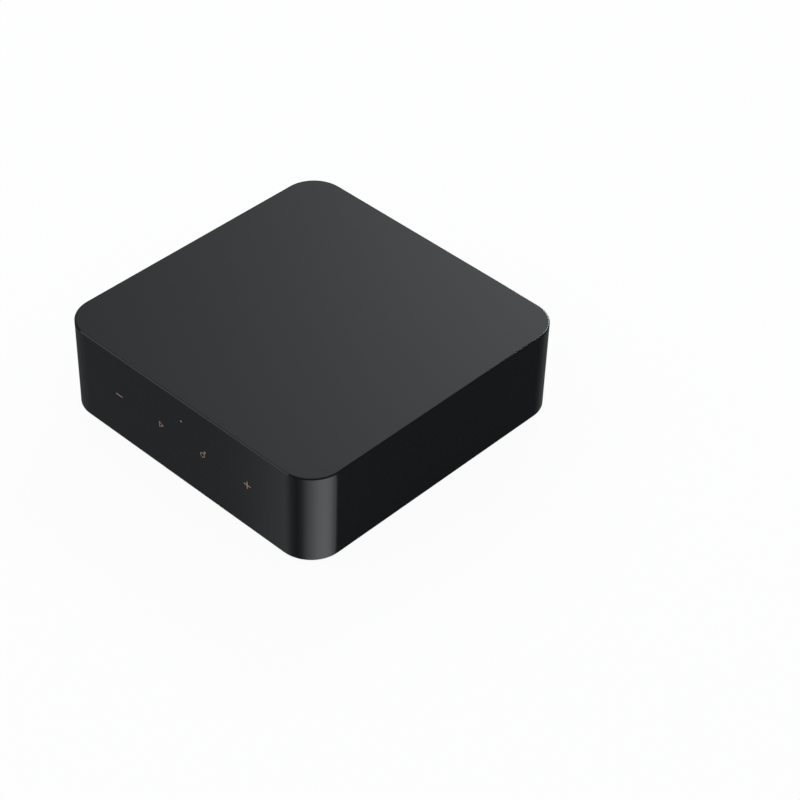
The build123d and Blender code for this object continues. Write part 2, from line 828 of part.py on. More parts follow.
# Form of a shutter's torsion spring, its coil standing on the origin along Z
with BuildPart() as spring_form:
    with BuildLine() as spring_path:
        FilletPolyline(
            (spring_radius + spring_reach, -spring_rise, 0),
            (spring_radius, -spring_rise, 0),
            (spring_radius, 0, 0),
            radius=spring_bend,
        )
        Helix(pitch=spring_pitch, height=spring_pitch * spring_turns, radius=spring_radius)
        Line(
            (spring_radius, 0, spring_pitch * spring_turns),
            (spring_radius, spring_leg, spring_pitch * spring_turns),
        )
    spring_wire = spring_path.wires()[0]
    with BuildSketch(Plane(origin=spring_wire @ 0, z_dir=spring_wire % 0)):
        Circle(spring_wire_radius)
    sweep(path=spring_wire)
print("shutter spring, gap between turns", spring_pitch - 2 * spring_wire_radius)

# Optical sockets: a housing with a square mouth, a sprung shutter inside it on a pin, and the light module
module_names = {"optical_in": "optical_in_receiver", "optical_out": "optical_out_emitter"}
rest_x = spring_pitch * spring_turns / 2
rest_front = hinge_y - spring_radius + spring_wire_radius + spring_seat_gap
plate_front = optical_cavity_front - shutter_front_gap
plate_back = plate_front - shutter_thickness
window_low = hinge_level - coil_outer - spring_window_gap
window_top = hinge_level + shutter_knuckle_radius + cut_over

for socket_name in ("optical_in", "optical_out"):
    middle_x = row_x[socket_name]
    with BuildPart() as housing:
        with BuildSketch(across(panel_face)):
            with Locations((middle_x, optical_middle)):
                Rectangle(optical_width, optical_top - board_top)
        extrude(amount=optical_depth)
        with BuildSketch(across(panel_face)):
            with Locations((middle_x, optical_axis)):
                Rectangle(optical_opening, optical_opening)
            chamfer(vertices().group_by(Axis.Y)[0], optical_opening_cut)
        extrude(amount=optical_lip, mode=Mode.SUBTRACT)
        with BuildSketch(across(optical_cavity_front)):
            with Locations((middle_x, (optical_floor + optical_ceiling) / 2)):
                Rectangle(shutter_width + 2 * shutter_side_gap, optical_ceiling - optical_floor)
        extrude(amount=optical_cavity_depth, mode=Mode.SUBTRACT)
        with BuildSketch(across(optical_cavity_back)):
            with Locations((middle_x, optical_axis)):
                Circle(ferrule_radius)
        extrude(amount=optical_back_wall, mode=Mode.SUBTRACT)
        with BuildSketch(across(module_front)):
            with Locations((middle_x, optical_axis)):
                Rectangle(module_width + 2 * module_gap, module_width + 2 * module_gap)
        extrude(amount=optical_depth, mode=Mode.SUBTRACT)
        with BuildSketch(along(middle_x - optical_width / 2 - cut_over)):
            with Locations((hinge_y, hinge_level)):
                Circle(shutter_pin_radius + shutter_pin_seat_gap)
        extrude(amount=optical_width + 2 * cut_over, mode=Mode.SUBTRACT)
    housing.part.label = f"{socket_name}_housing"
    export_step(housing.part, f"parts/{socket_name}_housing.step")

    with BuildPart() as shutter:
        with BuildSketch(across(plate_front)):
            with Locations((middle_x, (shutter_low + hinge_level) / 2)):
                Rectangle(shutter_width, hinge_level - shutter_low)
        extrude(amount=shutter_thickness)
        with BuildSketch(along(middle_x - shutter_width / 2)):
            with Locations((hinge_y, hinge_level)):
                Circle(shutter_knuckle_radius)
        extrude(amount=shutter_width)
        with BuildSketch(across(plate_back)):
            with Locations((middle_x + rest_x, hinge_level - spring_leg + spring_rest_length / 2)):
                Rectangle(spring_rest_width, spring_rest_length)
        extrude(amount=plate_back - rest_front)
        with BuildSketch(along(middle_x - spring_window / 2)):
            with Locations((hinge_y, (window_low + window_top) / 2)):
                Rectangle(2 * (coil_outer + cut_over), window_top - window_low)
        extrude(amount=spring_window, mode=Mode.SUBTRACT)
        with BuildSketch(along(middle_x - shutter_width / 2 - cut_over)):
            with Locations((hinge_y, hinge_level)):
                Circle(shutter_pin_radius + shutter_pin_gap)
        extrude(amount=shutter_width + 2 * cut_over, mode=Mode.SUBTRACT)
    shutter.part.label = f"{socket_name}_shutter"
    export_step(shutter.part, f"parts/{socket_name}_shutter.step")

    with BuildPart() as pin:
        with BuildSketch(along(middle_x - optical_width / 2 + shutter_pin_sink)):
            with Locations((hinge_y, hinge_level)):
                Circle(shutter_pin_radius)
        extrude(amount=optical_width - 2 * shutter_pin_sink)
    pin.part.label = f"{socket_name}_pin"
    export_step(pin.part, f"parts/{socket_name}_pin.step")

    with BuildPart() as spring:
        coil_start = (middle_x - rest_x, hinge_y, hinge_level)
        with Locations(Plane(origin=coil_start, x_dir=(0, -1, 0), z_dir=(1, 0, 0))):
            add(spring_form.part)
    spring.part.label = f"{socket_name}_spring"
    export_step(spring.part, f"parts/{socket_name}_spring.step")

    with BuildPart() as module:
        with BuildSketch(across(module_front - module_gap)):
            with Locations((middle_x, optical_axis)):
                Rectangle(module_width, module_width)
        extrude(amount=module_front - module_gap - panel_face + optical_depth)
        with Locations((middle_x, module_front - module_gap, optical_axis)):
            Sphere(lens_radius)
    module.part.label = module_names[socket_name]
    export_step(module.part, f"parts/{module_names[socket_name]}.step")

# Network socket: a folded steel shield, open in front and below
lan_x = row_x["lan"]
lan_top = board_top + lan_height
port_top = board_top + lan_port_floor + lan_port_height
lan_inner_top = lan_top - lan_sheet - snug_fit
lan_inner_width = lan_width - 2 * lan_sheet - 2 * snug_fit
lan_face = panel_face - lan_housing_set_back
lan_light_x = lan_inner_width / 2 - lan_light_edge - lan_light_width / 2
lan_light_z = (port_top + lan_inner_top) / 2
lan_light_places = [(lan_x - lan_light_x, lan_light_z), (lan_x + lan_light_x, lan_light_z)]

with BuildPart() as lan_shield:
    with BuildSketch(across(panel_face)):
        with Locations((lan_x, board_top + lan_height / 2)):
            Rectangle(lan_width, lan_height)
    extrude(amount=lan_depth)
    with BuildSketch(across(panel_face)):
        with Locations((lan_x, (board_top + lan_top - lan_sheet - cut_over) / 2)):
            Rectangle(lan_width - 2 * lan_sheet, lan_height - lan_sheet + cut_over)
    extrude(amount=lan_depth - lan_sheet, mode=Mode.SUBTRACT)
lan_shield.part.label = "lan_shield"
export_step(lan_shield.part, "parts/lan_shield.step")

# The socket's moulded body, with the port, the slot for the plug's latch and beds for two lights
with BuildPart() as lan_housing:
    with BuildSketch(across(lan_face)):
        with Locations((lan_x, (board_top + lan_inner_top) / 2)):
            Rectangle(lan_inner_width, lan_inner_top - board_top)
    extrude(amount=lan_depth - lan_sheet - snug_fit - lan_housing_set_back)
    with BuildSketch(across(lan_face)):
        with Locations((lan_x, port_top - lan_port_height / 2)):
            Rectangle(lan_port_width, lan_port_height)
        with Locations((lan_x, port_top - lan_port_height - lan_latch_height / 2)):
            Rectangle(lan_latch_width, lan_latch_height)
    extrude(amount=lan_port_depth, mode=Mode.SUBTRACT)
    with BuildSketch(across(lan_face)):
        with Locations(*lan_light_places):
            Rectangle(lan_light_width + 2 * snug_fit, lan_light_height + 2 * snug_fit)
    extrude(amount=lan_light_depth, mode=Mode.SUBTRACT)
lan_housing.part.label = "lan_housing"
export_step(lan_housing.part, "parts/lan_housing.step")

with BuildPart() as lan_lights:
    with BuildSketch(across(lan_face)):
        with Locations(*lan_light_places):
            Rectangle(lan_light_width, lan_light_height)
    extrude(amount=lan_light_depth)
lan_lights.part.label = "lan_lights"
export_step(lan_lights.part, "parts/lan_lights.step")

# Eight sprung contacts under the port's roof
contact_start = panel_face - lan_contact_start
contact_end = contact_start - lan_contact_reach
contact_foot = contact_start + lan_contact_foot

with BuildPart() as lan_contacts:
    for number in range(lan_contact_count):
        contact_x = lan_x + (number - (lan_contact_count - 1) / 2) * lan_contact_pitch
        with BuildSketch(along(contact_x - lan_contact_width / 2)):
            with BuildLine():
                Polyline(
                    (contact_foot, port_top),
                    (contact_start, port_top),
                    (contact_end, port_top - lan_contact_drop),
                    (contact_end, port_top - lan_contact_drop - lan_contact_thickness),
                    (contact_start, port_top - lan_contact_thickness),
                    (contact_foot, port_top - lan_contact_thickness),
                    close=True,
                )
            make_face()
        extrude(amount=lan_contact_width)
lan_contacts.part.label = "lan_contacts"
export_step(lan_contacts.part, "parts/lan_contacts.step")

# Power socket: a drawn steel shell with a tongue on a moulded base
power_x = row_x["power"]
power_front = panel_face - usb_set_back
power_back = power_front - usb_depth
power_inner_width = usb_width - 2 * usb_sheet
power_inner_height = usb_height - 2 * usb_sheet

with BuildPart() as power_shell:
    with BuildSketch(across(power_front)):
        with Locations((power_x, power_axis)):
            SlotOverall(usb_width, usb_height)
            SlotOverall(power_inner_width, power_inner_height, mode=Mode.SUBTRACT)
    extrude(amount=usb_depth)
power_shell.part.label = "power_shell"
export_step(power_shell.part, "parts/power_shell.step")

with BuildPart() as power_tongue:
    with BuildSketch(across(power_back)):
        with Locations((power_x, power_axis)):
            SlotOverall(power_inner_width - 2 * snug_fit, power_inner_height - 2 * snug_fit)
    extrude(amount=-usb_base_depth)
    with BuildSketch(across(power_back)):
        with Locations((power_x, power_axis)):
            Rectangle(usb_tongue_width, usb_tongue_thickness)
    extrude(amount=usb_tongue_set_back - usb_depth)
power_tongue.part.label = "power_tongue"
export_step(power_tongue.part, "parts/power_tongue.step")

# Trigger socket: a moulded body with a round bushing through the panel
trigger_x = row_x["trigger"]

with BuildPart() as trigger_body:
    with BuildSketch(across(socket_front)):
        with Locations((trigger_x, trigger_axis)):
            Rectangle(trigger_width, trigger_height)
    extrude(amount=trigger_depth)
    with BuildSketch(across(socket_front)):
        with Locations((trigger_x, trigger_axis)):
            Circle(trigger_bushing_radius)
    extrude(amount=socket_front - panel_face)
    with BuildSketch(across(panel_face)):
        with Locations((trigger_x, trigger_axis)):
            Circle(trigger_bore_radius)
    extrude(amount=trigger_bore_depth, mode=Mode.SUBTRACT)
trigger_body.part.label = "trigger_body"
export_step(trigger_body.part, "parts/trigger_body.step")

# Contact tabs on the socket's sides, down to the board
tab_x = (trigger_width + trigger_tab_thickness) / 2
with BuildPart() as trigger_tabs:
    with BuildSketch(Plane.XY.offset(board_top)):
        with Locations((trigger_x, socket_front - trigger_depth / 2)):
            with GridLocations(2 * tab_x, trigger_tab_pitch, 2, trigger_tab_count):
                Rectangle(trigger_tab_thickness, trigger_tab_width)
    extrude(amount=trigger_tab_height)
trigger_tabs.part.label = "trigger_tabs"
export_step(trigger_tabs.part, "parts/trigger_tabs.step")

# Tape, board, chip and light of the touch keys, behind the front wall
tape_back = -(inner_face - touch_tape_thickness)
touch_back = tape_back + touch_board_thickness
touch_board_width = touch_board_share * overall_width
touch_bottom = board_top + touch_board_lift
touch_height = ledge_bottom - touch_board_top_gap - touch_bottom
touch_middle = (0, touch_bottom + touch_height / 2)

with BuildPart() as touch_tape:
    with BuildSketch(across(-inner_face)):
        with Locations(touch_middle):
            RectangleRounded(touch_board_width, touch_height, touch_board_corner)
        with Locations((0, light_level)):
            Circle(light_flange_radius, mode=Mode.SUBTRACT)
    extrude(amount=-touch_tape_thickness)
touch_tape.part.label = "touch_tape"
export_step(touch_tape.part, "parts/touch_tape.step")

with BuildPart() as touch_board:
    with BuildSketch(across(tape_back)):
        with Locations(touch_middle):
            RectangleRounded(touch_board_width, touch_height, touch_board_corner)
        with Locations((0, light_level)):
            Circle(touch_window_radius, mode=Mode.SUBTRACT)
    extrude(amount=-touch_board_thickness)
touch_board.part.label = "touch_board"
export_step(touch_board.part, "parts/touch_board.step")

with BuildPart() as touch_chip:
    with BuildSketch(across(touch_back)):
        with Locations((-touch_chip_aside, mark_level)):
            Rectangle(touch_chip_size, touch_chip_size)
    extrude(amount=-touch_chip_thickness)
touch_chip.part.label = "touch_chip"
export_step(touch_chip.part, "parts/touch_chip.step")

with BuildPart() as status_light:
    with BuildSketch(across(touch_back)):
        with Locations((0, light_level)):
            Rectangle(status_light_width, status_light_height)
    extrude(amount=-status_light_depth)
status_light.part.label = "status_light"
export_step(status_light.part, "parts/status_light.step")

# Sockets of the flat cable, on the back of the touch board and on the main board
upper_socket_low = touch_bottom + cable_socket_edge
lower_socket_front = board_front + cable_socket_edge

with BuildPart() as cable_sockets:
    with BuildSketch(across(touch_back)):
        with Locations((0, upper_socket_low + cable_socket_length / 2)):
            Rectangle(cable_socket_width, cable_socket_length)
    extrude(amount=-cable_socket_height)
    with BuildSketch(Plane.XY.offset(board_top)):
        with Locations((0, lower_socket_front + cable_socket_length / 2)):
            Rectangle(cable_socket_width, cable_socket_length)
    extrude(amount=cable_socket_height)
cable_sockets.part.label = "cable_sockets"
export_step(cable_sockets.part, "parts/cable_sockets.step")

# Flat cable: down from the touch board, round one bend and back to the main board
with BuildPart() as touch_cable:
    with BuildSketch(along(-cable_width / 2)):
        with BuildLine():
            FilletPolyline(
                (touch_back + cable_socket_height / 2, upper_socket_low),
                (touch_back + cable_socket_height / 2, board_top + cable_socket_height / 2),
                (lower_socket_front, board_top + cable_socket_height / 2),
                radius=cable_bend,
            )
        trace(line_width=cable_thickness)
    extrude(amount=cable_width)
touch_cable.part.label = "touch_cable"
export_step(touch_cable.part, "parts/touch_cable.step")

# Processor, its pad and its finned heat sink
pad_bottom = board_top + processor_thickness
sink_bottom = pad_bottom + pad_thickness
fin_pitch = (sink_size - fin_thickness) / (fin_count - 1)

with BuildPart() as processor:
    with BuildSketch(Plane.XY.offset(board_top)):
        with Locations(on_board(processor_shares)):
            Rectangle(processor_size, processor_size)
    extrude(amount=processor_thickness)
processor.part.label = "processor"
export_step(processor.part, "parts/processor.step")

with BuildPart() as thermal_pad:
    with BuildSketch(Plane.XY.offset(pad_bottom)):
        with Locations(on_board(processor_shares)):
            Rectangle(pad_size, pad_size)
    extrude(amount=pad_thickness)
thermal_pad.part.label = "thermal_pad"
export_step(thermal_pad.part, "parts/thermal_pad.step")

with BuildPart() as heat_sink:
    with BuildSketch(Plane.XY.offset(sink_bottom)):
        with Locations(on_board(processor_shares)):
            Rectangle(sink_size, sink_size)
    extrude(amount=sink_base)
    with BuildSketch(Plane.XY.offset(sink_bottom + sink_base)):
        with Locations(on_board(processor_shares)):
            with GridLocations(fin_pitch, fin_pitch, fin_count, 1):
                Rectangle(fin_thickness, sink_size)
    extrude(amount=fin_height)
heat_sink.part.label = "heat_sink"
export_step(heat_sink.part, "parts/heat_sink.step")

# Chips and other pieces soldered to the main board
with BuildPart() as memory_chips:
    with BuildSketch(Plane.XY.offset(board_top)):
        with Locations(*[on_board(shares) for shares in memory_shares]):
            Rectangle(memory_width, memory_length)
    extrude(amount=memory_thickness)
memory_chips.part.label = "memory_chips"
export_step(memory_chips.part, "parts/memory_chips.step")

with BuildPart() as converter_chips:
    with BuildSketch(Plane.XY.offset(board_top)):
        with Locations(*[on_board(shares) for shares in converter_shares]):
            Rectangle(converter_size, converter_size)
    extrude(amount=converter_thickness)
converter_chips.part.label = "converter_chips"
export_step(converter_chips.part, "parts/converter_chips.step")

with BuildPart() as lan_transformer:
    with BuildSketch(Plane.XY.offset(board_top)):
        with Locations(on_board(transformer_shares)):
            Rectangle(transformer_width, transformer_length)
    extrude(amount=transformer_height)
lan_transformer.part.label = "lan_transformer"
export_step(lan_transformer.part, "parts/lan_transformer.step")

# Electrolytic capacitors: a can with a rolled groove, on a square base
capacitor_places = [on_board(shares) for shares in capacitor_shares]
groove_level = board_top + capacitor_base_height + capacitor_groove_share * capacitor_height

with BuildPart() as capacitors:
    with BuildSketch(Plane.XY.offset(board_top)):
        with Locations(*capacitor_places):
            Rectangle(capacitor_base, capacitor_base)
    extrude(amount=capacitor_base_height)
    with BuildSketch(Plane.XY.offset(board_top + capacitor_base_height)):
        with Locations(*capacitor_places):
            Circle(capacitor_radius)
    extrude(amount=capacitor_height)
    with BuildSketch(Plane.XY.offset(groove_level)):
        with Locations(*capacitor_places):
            Circle(capacitor_radius + cut_over)
            Circle(capacitor_radius - capacitor_groove_depth, mode=Mode.SUBTRACT)
    extrude(amount=capacitor_groove_width, mode=Mode.SUBTRACT)
capacitors.part.label = "capacitors"
export_step(capacitors.part, "parts/capacitors.step")

with BuildPart() as inductors:
    with BuildSketch(Plane.XY.offset(board_top)):
        with Locations(*[on_board(shares) for shares in inductor_shares]):
            Rectangle(inductor_size, inductor_size)
        chamfer(vertices(), inductor_corner)
    extrude(amount=inductor_height)
inductors.part.label = "inductors"
export_step(inductors.part, "parts/inductors.step")

with BuildPart() as crystals:
    with BuildSketch(Plane.XY.offset(board_top)):
        with Locations(*[on_board(shares) for shares in crystal_shares]):
            Rectangle(crystal_width, crystal_length)
    extrude(amount=crystal_height)
crystals.part.label = "crystals"
export_step(crystals.part, "parts/crystals.step")

with BuildPart() as chip_parts:
    with BuildSketch(Plane.XY.offset(board_top)):
        with Locations(*[on_board(shares) for shares in chip_field_shares]):
            with GridLocations(chip_pitch_x, chip_pitch_y, chip_columns, chip_rows):
                Rectangle(chip_length, chip_width)
    extrude(amount=chip_height)
chip_parts.part.label = "chip_parts"
export_step(chip_parts.part, "parts/chip_parts.step")

# Radio module: a small board with a chip under a sheet-metal can, and two aerial plugs in front
radio_place = on_board(radio_shares)
radio_top = board_top + radio_board_thickness
can_width = radio_width - 2 * shield_margin
can_length = radio_length - shield_strip - shield_margin
can_place = (radio_place[0], radio_place[1] + (shield_strip - shield_margin) / 2)
plug_y = radio_place[1] - (radio_length - shield_strip) / 2

with BuildPart() as radio_board:
    with BuildSketch(Plane.XY.offset(board_top)):
        with Locations(radio_place):
            Rectangle(radio_width, radio_length)
    extrude(amount=radio_board_thickness)
radio_board.part.label = "radio_board"
export_step(radio_board.part, "parts/radio_board.step")

with BuildPart() as radio_shield:
    with BuildSketch(Plane.XY.offset(radio_top)):
        with Locations(can_place):
            RectangleRounded(can_width, can_length, shield_corner)
    extrude(amount=shield_height)
    with BuildSketch(Plane.XY.offset(radio_top)):
        with Locations(can_place):
            RectangleRounded(
                can_width - 2 * shield_sheet, can_length - 2 * shield_sheet, shield_corner - shield_sheet
            )
    extrude(amount=shield_height - shield_sheet, mode=Mode.SUBTRACT)
radio_shield.part.label = "radio_shield"
export_step(radio_shield.part, "parts/radio_shield.step")

with BuildPart() as radio_chip:
    with BuildSketch(Plane.XY.offset(radio_top)):
        with Locations(can_place):
            Rectangle(radio_chip_size, radio_chip_size)
    extrude(amount=radio_chip_thickness)
radio_chip.part.label = "radio_chip"
export_step(radio_chip.part, "parts/radio_chip.step")

with BuildPart() as aerial_plugs:
    with BuildSketch(Plane.XY.offset(radio_top)):
        with Locations((radio_place[0], plug_y)):
            with GridLocations(plug_pitch, plug_pitch, 2, 1):
                Circle(plug_radius)
    extrude(amount=plug_height)
aerial_plugs.part.label = "aerial_plugs"
export_step(aerial_plugs.part, "parts/aerial_plugs.step")

# Aerials: two printed strips glued inside the side walls
aerial_level = shell_bottom + aerial_level_share * shell_height

with BuildPart() as aerials:
    with BuildSketch(along(inner_face - aerial_thickness)):
        with Locations((-aerial_forward, aerial_level)):
            RectangleRounded(aerial_length, aerial_height, aerial_corner)
    extrude(amount=aerial_thickness)
    mirror(about=Plane.YZ)
aerials.part.label = "aerials"
export_step(aerials.part, "parts/aerials.step")


def lead_points(side, shares):
    """Route of one aerial lead, from its plug to its aerial; side is -1 for the left one."""
    plug_x = radio_place[0] + side * (plug_pitch / 2 + plug_radius + lead_start_gap)
    plug_level = radio_top + plug_height / 2
    feed_x = side * (inner_face - aerial_thickness - lead_radius)
    feed_y = -aerial_forward - aerial_length / 2 + lead_feed
    return [
        Vector(
            plug_x + step[0] * (feed_x - plug_x),
            plug_y + step[1] * (feed_y - plug_y),
            plug_level + step[2] * (aerial_level - plug_level),
        )
        for step in shares
    ]


def lead_radii(points):
    """Bend radius at each inner point: a share of the shorter run over the tangent of half the turn."""
    radii = []
    for before, here, after in zip(points, points[1:], points[2:]):
        shorter = min((here - before).length, (after - here).length)
        half_turn = radians((here - before).get_angle(after - here)) / 2
        radii.append(lead_bend_share * shorter / tan(half_turn))
    return radii


# Aerial leads: thin coaxial cables over the board
with BuildPart() as aerial_leads:
    for side, shares in ((-1, left_lead_shares), (1, right_lead_shares)):
        route = lead_points(side, shares)
        print("aerial lead, bend radii", [round(radius, 1) for radius in lead_radii(route)])
        with BuildLine() as lead_line:
            FilletPolyline(*route, radius=lead_radii(route))
        with BuildSketch(Plane(origin=lead_line.line @ 0, z_dir=lead_line.line % 0)):
            Circle(lead_radius)
        sweep(path=lead_line.line)
aerial_leads.part.label = "aerial_leads"
export_step(aerial_leads.part, "parts/aerial_leads.step")
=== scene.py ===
import json
import math

import bpy
import numpy as np
from mathutils import Matrix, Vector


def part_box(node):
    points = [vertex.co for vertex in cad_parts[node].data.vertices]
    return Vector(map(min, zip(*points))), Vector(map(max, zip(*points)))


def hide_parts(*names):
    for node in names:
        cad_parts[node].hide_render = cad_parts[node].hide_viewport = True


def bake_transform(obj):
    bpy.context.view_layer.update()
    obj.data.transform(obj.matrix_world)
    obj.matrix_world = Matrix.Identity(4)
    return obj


# A network music streamer: a low square box with touch marks in front and sockets behind.
# Metres, +Z up, the front towards -Y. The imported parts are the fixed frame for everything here.
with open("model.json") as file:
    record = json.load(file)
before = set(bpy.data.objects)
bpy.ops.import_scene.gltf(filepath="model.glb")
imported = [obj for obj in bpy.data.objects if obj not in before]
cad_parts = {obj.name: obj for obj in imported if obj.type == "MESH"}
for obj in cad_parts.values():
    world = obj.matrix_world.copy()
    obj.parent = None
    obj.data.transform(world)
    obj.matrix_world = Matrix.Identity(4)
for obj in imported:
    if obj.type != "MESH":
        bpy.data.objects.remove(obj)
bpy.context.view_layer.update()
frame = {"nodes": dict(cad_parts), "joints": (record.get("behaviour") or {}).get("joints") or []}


# Main board: glass-fibre laminate with green solder resist on both faces, routed to size, with a neck
# between the two rear bosses. Copper tracks show through the resist as slightly lighter lines.
def linear(hex_colour):
    """An sRGB hex colour as linear red, green, blue and alpha."""
    shares = np.array([int(hex_colour[i:i + 2], 16) / 255 for i in (1, 3, 5)])
    curved = np.where(shares <= 0.04045, shares / 12.92, ((shares + 0.055) / 1.055) ** 2.4)
    return (*curved.tolist(), 1.0)


def start(name):
    """A new material of that name, empty but for its output."""
    material = bpy.data.materials.new(name)
    material.use_nodes = True
    material.node_tree.nodes.clear()
    material.node_tree.nodes.new("ShaderNodeOutputMaterial")
    return material


def add(owner, kind, sockets=None, **settings):
    """Adds a node to a material or world. The settings are its properties, and the sockets are its input
    values or the outputs that feed them. A shader is also joined to the owner's output."""
    tree = owner.node_tree
    node = tree.nodes.new(kind)
    for name, value in settings.items():
        setattr(node, name, value)
    for key, value in (sockets or {}).items():
        if isinstance(value, bpy.types.NodeSocket):
            tree.links.new(value, node.inputs[key])
        else:
            node.inputs[key].default_value = value
    if node.outputs and node.outputs[0].type == "SHADER":
        output = next(n for n in tree.nodes if n.type in ("OUTPUT_MATERIAL", "OUTPUT_WORLD"))
        tree.links.new(node.outputs[0], output.inputs["Surface"])
    return node


def give(material, *names):
    """Puts the material on CAD nodes, in place of the one that each was packed with."""
    for name in names:
        mesh = frame["nodes"][name].data
        mesh.materials.clear()
        mesh.materials.append(material)


TRACK_SPACING, TRACK_SHARE, RESIST_MOTTLE = 1.27e-3, 0.05, 1.1e-3
BRICK_ROWS, BRICK_COLUMNS = 4, 2  # in one unit of a brick texture at scale 1
resist = start("green_solder_resist")
place = add(resist, "ShaderNodeTexCoord").outputs["Object"]
tracks = add(resist, "ShaderNodeTexBrick", {
    "Vector": place, "Scale": 1 / (BRICK_ROWS * TRACK_SPACING), "Mortar Size": TRACK_SHARE,
    "Mortar Smooth": 0.3, "Color1": linear("#114a2a"), "Color2": linear("#145330"),
    "Mortar": linear("#1f6e41")}, offset=0.35, squash=0.6)
mottle = add(resist, "ShaderNodeTexNoise", {"Vector": place, "Scale": 1 / RESIST_MOTTLE, "Detail": 3.0})
sheen = add(resist, "ShaderNodeMapRange", {"Value": mottle.outputs["Fac"], "To Min": 0.28, "To Max": 0.42})
relief = add(resist, "ShaderNodeBump", {"Height": tracks.outputs["Fac"], "Strength": 0.3,
                                        "Distance": 3.5e-5})
add(resist, "ShaderNodeBsdfPrincipled", {
    "Base Color": tracks.outputs["Color"], "Roughness": sheen.outputs["Result"], "IOR": 1.5,
    "Normal": relief.outputs["Normal"]})
give(resist, "main_board")

# Radio board and aerials: thinner laminate under black solder resist, cut from a panel by routing.
# The etched copper below the resist shows as a faint mesh of squares.
MESH_PITCH, BLACK_RESIST_MOTTLE = 2.0e-3, 1.4e-3
black_resist = start("black_solder_resist")
place = add(black_resist, "ShaderNodeTexCoord").outputs["Object"]
copper = add(black_resist, "ShaderNodeTexBrick", {
    "Vector": place, "Scale": 1 / (BRICK_COLUMNS * MESH_PITCH), "Row Height": 1 / BRICK_COLUMNS,
    "Mortar Size": 0.06, "Mortar Smooth": 0.4, "Color1": linear("#0d1010"),
    "Color2": linear("#101413"), "Mortar": linear("#222724")}, offset=0.0)
mottle = add(black_resist, "ShaderNodeTexNoise", {"Vector": place, "Scale": 1 / BLACK_RESIST_MOTTLE,
                                                  "Detail": 2.0})
sheen = add(black_resist, "ShaderNodeMapRange", {"Value": mottle.outputs["Fac"], "To Min": 0.3,
                                                 "To Max": 0.45})
add(black_resist, "ShaderNodeBsdfPrincipled", {
    "Base Color": copper.outputs["Color"], "Roughness": sheen.outputs["Result"], "IOR": 1.5})
give(black_resist, "radio_board", "aerials")

# Chips and the network transformer: silicon or coils cast in black epoxy under pressure, soldered by
# their feet. The mould's spark-eroded surface leaves them matt, with a fine even grit.
EPOXY_GRIT = 0.32e-3
epoxy = start("moulded_epoxy")
place = add(epoxy, "ShaderNodeTexCoord").outputs["Object"]
grit = add(epoxy, "ShaderNodeTexNoise", {"Vector": place, "Scale": 1 / EPOXY_GRIT, "Detail": 4.0})
shade = add(epoxy, "ShaderNodeMix", {"Factor": grit.outputs["Fac"], "A": linear("#131314"),
                                     "B": linear("#1f1f20")}, data_type="RGBA")
relief = add(epoxy, "ShaderNodeBump", {"Height": grit.outputs["Fac"], "Strength": 0.35, "Distance": 2e-5})
add(epoxy, "ShaderNodeBsdfPrincipled", {
    "Base Color": shade.outputs["Result"], "Roughness": 0.62, "IOR": 1.55,
    "Normal": relief.outputs["Normal"]})
give(epoxy, "processor", "memory_chips", "converter_chips", "lan_transformer", "radio_chip")

# Heat sink on the processor: aluminium, extruded with its fins, sawn to length and anodised black.
# The die leaves fine lines along the fins, and the anodised skin has a dull metal sheen.
DIE_LINES, DIE_LINE_STRETCH = 0.25e-3, 0.03
anodised = start("black_anodised_aluminium")
place = add(anodised, "ShaderNodeTexCoord").outputs["Object"]
along = add(anodised, "ShaderNodeMapping", {"Vector": place, "Scale": (1.0, DIE_LINE_STRETCH, 1.0)})
lines = add(anodised, "ShaderNodeTexNoise", {"Vector": along.outputs["Vector"], "Scale": 1 / DIE_LINES,
                                             "Detail": 2.0})
sheen = add(anodised, "ShaderNodeMapRange", {"Value": lines.outputs["Fac"], "To Min": 0.34, "To Max": 0.52})
shade = add(anodised, "ShaderNodeMix", {"Factor": lines.outputs["Fac"], "A": linear("#27282b"),
                                        "B": linear("#303134")}, data_type="RGBA")
relief = add(anodised, "ShaderNodeBump", {"Height": lines.outputs["Fac"], "Strength": 0.25,
                                          "Distance": 1.5e-5})
add(anodised, "ShaderNodeBsdfPrincipled", {
    "Base Color": shade.outputs["Result"], "Metallic": 0.85, "Roughness": sheen.outputs["Result"],
    "Normal": relief.outputs["Normal"]})
give(anodised, "heat_sink")

# Thermal pad between the processor and its heat sink: a soft silicone sheet with ceramic powder in it,
# cut to size and held by its own tack. The powder shows as pale specks in the blue-grey.
FILLER_SPECKS = 0.3e-3
silicone = start("filled_silicone")
place = add(silicone, "ShaderNodeTexCoord").outputs["Object"]
specks = add(silicone, "ShaderNodeTexVoronoi", {"Vector": place, "Scale": 1 / FILLER_SPECKS})
shade = add(silicone, "ShaderNodeMix", {"Factor": specks.outputs["Distance"], "A": linear("#7f97b5"),
                                        "B": linear("#93a8c2")}, data_type="RGBA")
add(silicone, "ShaderNodeBsdfPrincipled", {
    "Base Color": shade.outputs["Result"], "Roughness": 0.7, "IOR": 1.43})
give(silicone, "thermal_pad")

